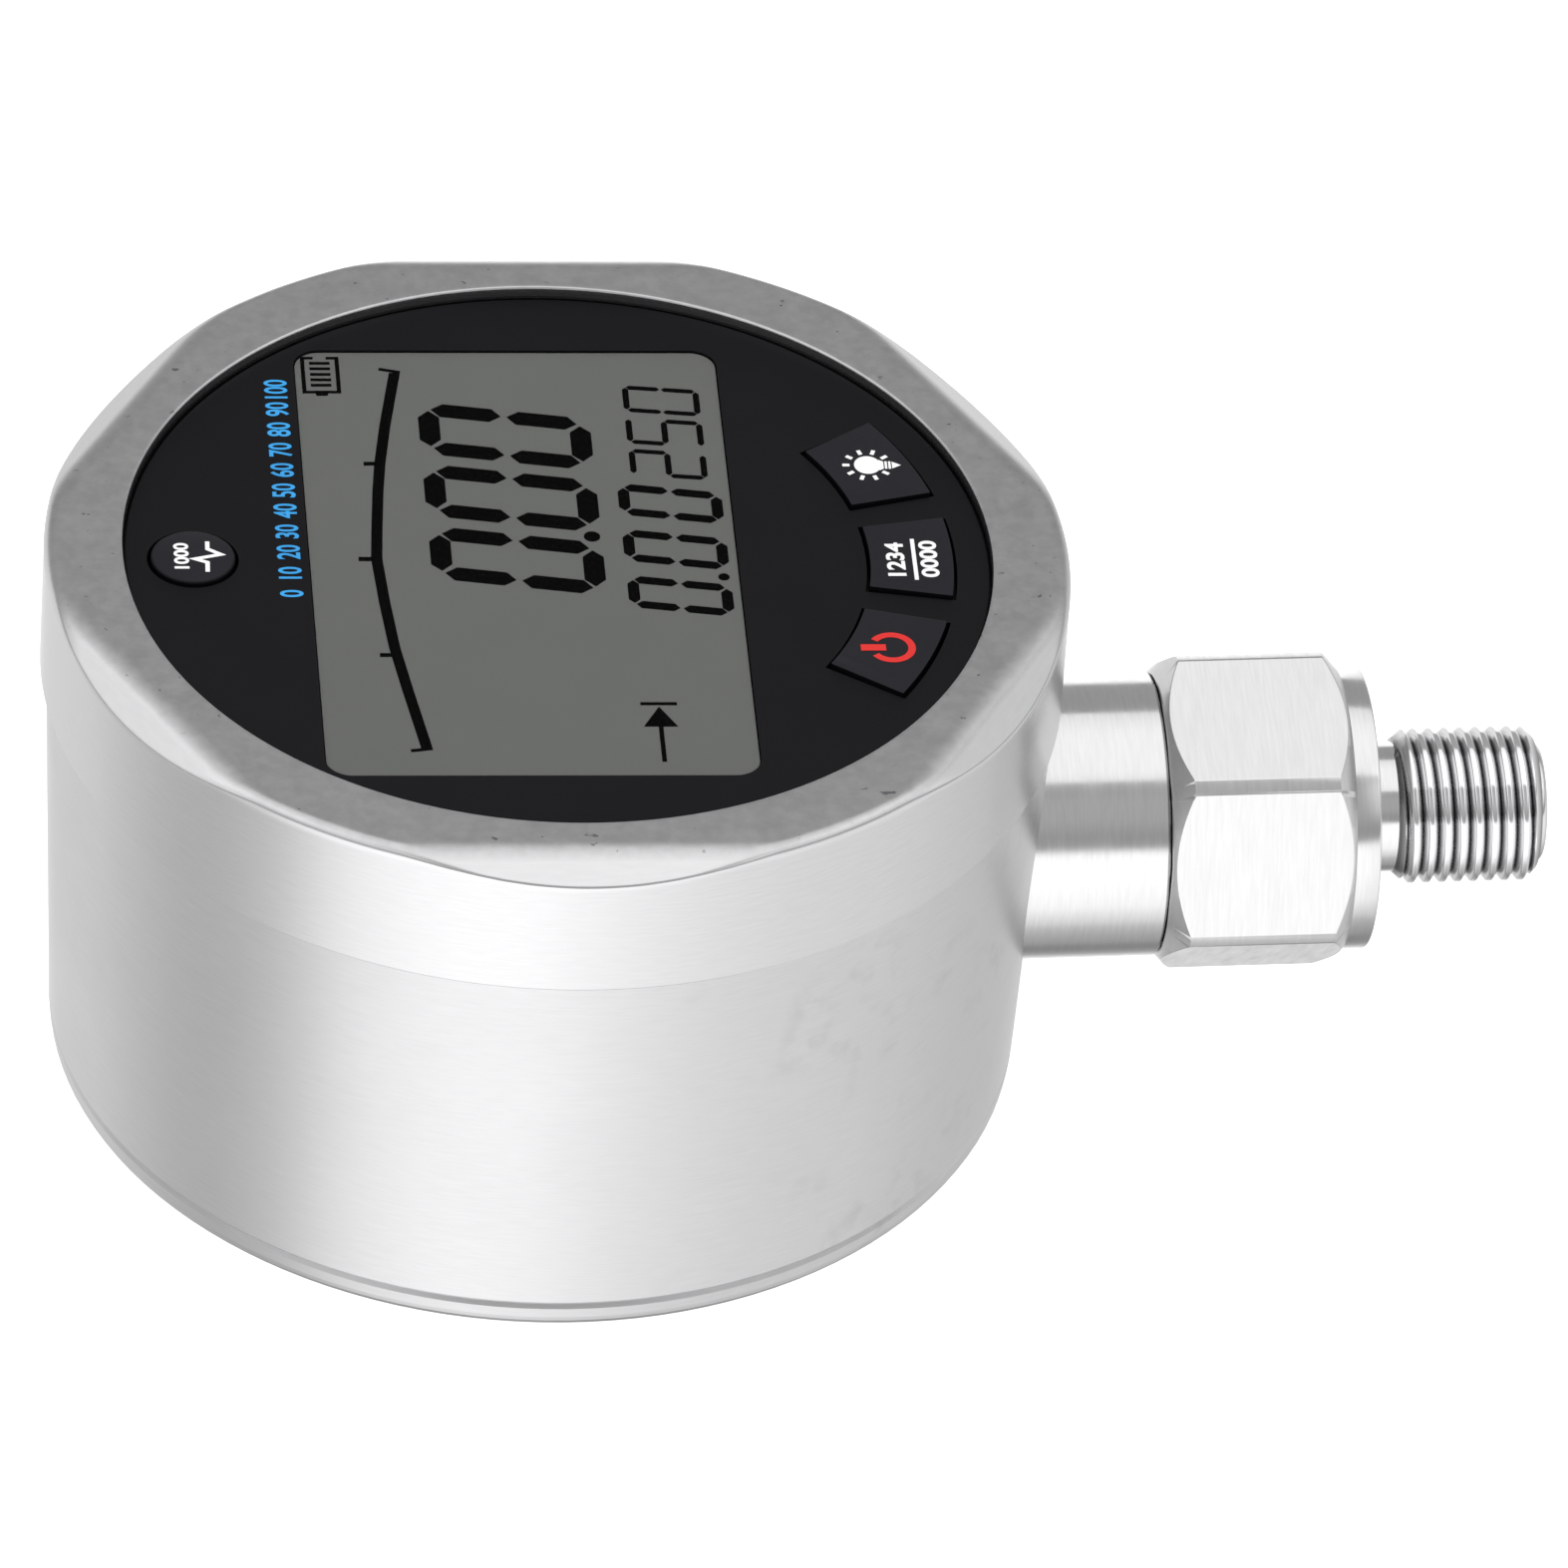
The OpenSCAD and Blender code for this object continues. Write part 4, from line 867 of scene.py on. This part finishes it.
# Display segments
display = {
    "floor": 48.7,
    "thick": 0.03,
    "digits": {"figures": "000", "top": -9.63, "start": -1.53, "pitch": 8.46, "height": 12.6, "width": 5.3,
               "stroke": 1.76, "slant": 0.166},
    "smallDigits": {"figures": "000", "top": 6.05, "start": -5.73, "pitch": 6.23, "height": 7.69,
                    "width": 3.3, "stroke": 0.95, "slant": 0.155},
    "thinDigits": {"figures": "250", "top": 7.1, "start": 11.9, "pitch": 4.37, "height": 5.9, "width": 3.1,
                   "stroke": 0.52, "slant": 0.106},
    "gapShare": 0.14,  # of a stroke's width, left free at each end of a segment
    "dots": ((3.06, 3.32, 0.68), (13.65, -2.13, 0.47)),
    "scaleWidth": 0.93,
    "scale": ((-12.2, -24.9), (-13.38, -17.0), (-14.13, -11.57), (-14.62, -5.73), (-14.98, 0.3),
              (-14.77, 3.9), (-14.4, 9.33), (-14.02, 13.34), (-13.33, 18.46), (-12.15, 25.7)),
    "ticks": (((-16.48, 0.28), (-15.3, 0.28), 0.55), ((-15.39, 13.21), (-14.3, 13.21), 0.5),
              ((-15.39, -12.54), (-14.3, -12.54), 0.5), ((-13.44, 26.25), (-11.68, 25.78), 0.36),
              ((-13.52, -25.14), (-11.76, -24.86), 0.36)),
    # battery: an outline open at its far end, its pole, and its bars
    "battery": {"line": 0.34, "outline": ((-18.92, 27.75), (-19.82, 27.75), (-19.82, 23.05), (-16.92, 23.05),
                                          (-16.92, 27.75), (-17.82, 27.75)),
                "pole": ((-18.97, 23.05), (-17.77, 23.05), (-17.92, 22.55), (-18.82, 22.55)),
                "bars": (27.03, 26.28, 25.5, 24.75, 24.0), "barEnds": (-19.24, -17.52), "barWidth": 0.36},
    # highest value: an arrow against a stop
    "arrow": {"stem": ((7.1, -26.6), (7.1, -21.4)), "head": ((5.7, -22.0), (8.5, -22.0), (7.1, -19.4)),
              "stop": ((5.6, -19.0), (8.6, -19.0)), "line": 0.38},
}
# The seven bars of a figure, each from one corner to another: how far down and how far along
segments = {"a": ((0, 0), (0, 1)), "b": ((0, 1), (0.5, 1)), "c": ((0.5, 1), (1, 1)), "d": ((1, 0), (1, 1)),
            "e": ((0.5, 0), (1, 0)), "f": ((0, 0), (0.5, 0)), "g": ((0.5, 0), (0.5, 1))}
segmentsOf = {"0": "abcdef", "2": "abged", "5": "afgcd"}


def addDigits(bm, row):
    stroke = row["stroke"]
    gap = display["gapShare"] * stroke
    for i, figure in enumerate(row["figures"]):
        start = row["start"] + i * row["pitch"]
        for letter in segmentsOf[figure]:
            a, b = (Vector((row["top"] + down * row["height"],
                            start + side * row["width"] - row["slant"] * down * row["height"]))
                    for down, side in segments[letter])
            way = (b - a).normalized()
            addBar(bm, a + way * gap, b - way * gap, stroke, display["thick"], pointed=stroke / 2)


def addScale(bm):
    # Bar scale: one curved stroke with five ticks
    wide, thick = display["scaleWidth"], display["thick"]
    line = [bm.verts.new(((x - wide / 2) * mm, y * mm, 0)) for x, y in display["scale"]]
    edges = [bm.edges.new(pair) for pair in zip(line, line[1:])]
    strip = bmesh.ops.extrude_edge_only(bm, edges=edges)["geom"]
    bmesh.ops.translate(bm, verts=pick(strip, bmesh.types.BMVert), vec=(wide * mm, 0, 0))
    thicken(bm, pick(strip, bmesh.types.BMFace), thick)
    for start, end, width in display["ticks"]:
        addBar(bm, start, end, width, thick)


def buildDisplay():
    thick, battery, arrow = display["thick"], display["battery"], display["arrow"]
    bm = bmesh.new()
    for row in ("digits", "smallDigits", "thinDigits"):
        addDigits(bm, display[row])
    for x, y, radius in display["dots"]:
        addDisc(bm, (x, y), radius, thick)
    addScale(bm)
    addLine(bm, battery["outline"], battery["line"], thick)
    addPrism(bm, battery["pole"], thick)
    left, right = battery["barEnds"]
    for y in battery["bars"]:
        addBar(bm, (left, y), (right, y), battery["barWidth"], thick)
    addBar(bm, *arrow["stem"], arrow["line"], thick)
    addPrism(bm, arrow["head"], thick)
    addBar(bm, *arrow["stop"], arrow["line"], thick)
    finishPiece(bm, "displaySegments", "gauge_body", ["lcdInk"], (), headTurn, display["floor"])


buildDisplay()
print("display: figures, bar scale and signs")

# Printed marks on the panel and keys. Figures have a centre, a height, a stretch and a boldness. The
# other points of a sign that has a centre are measured from it.
prints = {
    "panelTop": 48.9,
    "keyTop": 49.2,
    "thick": 0.02,
    "range": {"place": -22.25, "start": -4.6, "pitch": 2.78, "last": 10, "look": (1.95, 0.74, 0.018)},
    "lamp": {"centre": (26.65, 12.41), "radius": 1.2, "squash": 0.93, "rays": 10, "ray": (1.5, 2.1),
             "line": 0.34, "neck": ((0.95, -0.72), (1.35, -0.48), (1.35, 0.48), (0.95, 0.72)),
             "neckShare": 0.8,  # of the print's thickness, so that it doesn't flicker with the disc
             "rings": (1.55, 1.86), "ringHalf": 0.5, "ringLine": 0.2,
             "tip": ((2.06, -0.46), (2.8, 0.0), (2.06, 0.46))},
    "unit": (("1234", (28.0, -0.39), 1.55, 1.2, 0.03), ("0000", (30.78, -0.35), 1.5, 1.24, 0.03)),
    "unitBar": ((29.57, -3.15), (29.57, 2.35), 0.34),
    "power": {"centre": (26.78, -12.2), "radii": (1.36, 1.98), "arc": (-146, 146), "stem": (-2.57, -0.49),
              "line": 0.82},
    "pulse": ((-28.94, 2.0), (-28.96, 1.0), (-27.88, 0.27), (-30.05, -0.33), (-29.03, -0.8),
              (-29.07, -2.05)),
    "pulseLine": 0.36,
    "peak": ("1000", (-31.16, 0.08), 1.25, 1.14, 0.03),
}


def addRange(bm, thick):
    r = prints["range"]
    for i in range(r["last"] + 1):
        addNumber(bm, str(10 * i), (r["place"], r["start"] + i * r["pitch"]), *r["look"], thick)


def addLamp(bm, thick):
    lamp = prints["lamp"]
    centre = Vector(lamp["centre"])
    addDisc(bm, centre, lamp["radius"], thick, lamp["squash"])
    near, far = lamp["ray"]
    for i in range(1, lamp["rays"]):  # all but the one at the neck
        a = math.tau * i / lamp["rays"]
        way = Vector((math.cos(a), math.sin(a)))
        addBar(bm, centre + way * near, centre + way * far, lamp["line"], thick)
    addPrism(bm, [centre + Vector(point) for point in lamp["neck"]], lamp["neckShare"] * thick)
    for along in lamp["rings"]:
        ends = [centre + Vector((along, side * lamp["ringHalf"])) for side in (-1, 1)]
        addBar(bm, *ends, lamp["ringLine"], thick)
    addPrism(bm, [centre + Vector(point) for point in lamp["tip"]], thick)


def addUnit(bm, thick):
    # Two rows of figures with a bar between them
    upper, lower = prints["unit"]
    addNumber(bm, *upper, thick)
    addBar(bm, *prints["unitBar"], thick)
    addNumber(bm, *lower, thick)


def addPower(bm, thick):
    power = prints["power"]
    x, y = power["centre"]
    addArc(bm, power["centre"], power["radii"], power["arc"], thick)
    start, end = power["stem"]
    addBar(bm, (x + start, y), (x + end, y), power["line"], thick)


def addPulse(bm, thick):
    addLine(bm, prints["pulse"], prints["pulseLine"], thick)
    addNumber(bm, *prints["peak"], thick)


def buildPrints():
    signs = ((addRange, "rangeFigures", "gauge_body", "black_plastic", "blueInk", "panelTop"),
             (addLamp, "lampSign", "light_key", "key_plastic", "whiteInk", "keyTop"),
             (addUnit, "unitFigures", "unit_key", "key_plastic", "whiteInk", "keyTop"),
             (addPower, "powerSign", "power_key", "key_plastic", "redInk", "keyTop"),
             (addPulse, "pulseSign", "peak_key", "key_plastic", "whiteInk", "keyTop"))
    for draw, name, body, slot, ink, level in signs:
        bm = bmesh.new()
        draw(bm, prints["thick"])
        finishPiece(bm, name, body, [ink], (), headTurn, prints[level])


buildPrints()
print("prints: range figures and key signs")

# CAD nodes that stay get their finish
finishes = {
    "caseSteel": ["rear_case"],
    "turnedSteel": ["neck_sleeve"],
    "panelPlastic": ["front_panel"],
    "lcdFilm": ["lcd_glass"],
    "lens": ["display_lens"],
    "rubber": ["case_o_ring", "bezel_gasket", "neck_gasket", "sensor_o_ring"],
    "guide": ["lcd_backlight"],
    "pinkRubber": ["lcd_strip_connectors"],
    "board": ["main_board"],
    "whiteParts": ["lcd_carrier", "backlight_leds", "board_socket", "sensor_plug"],
    "darkParts": ["processor_chip", "converter_chip", "battery_holder", "battery_cover"]
                 + [part + key for part in ("plunger_", "switch_")
                    for key in ("light", "unit", "power", "peak")],
    "nickel": ["clock_crystal", "panel_screws", "holder_screws", "cover_screws", "battery_springs",
               "battery_contacts", "sensor_capsule", "sensor_retainer"],
    "cellWrap": ["battery_1", "battery_2", "battery_3"],
    "cableJacket": ["sensor_cable"],
}
for finish, nodeNames in finishes.items():
    for nodeName in nodeNames:
        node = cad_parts[nodeName]
        node.data.materials.clear()
        node.data.materials.append(materials[finish])
print("nodes: finishes set")
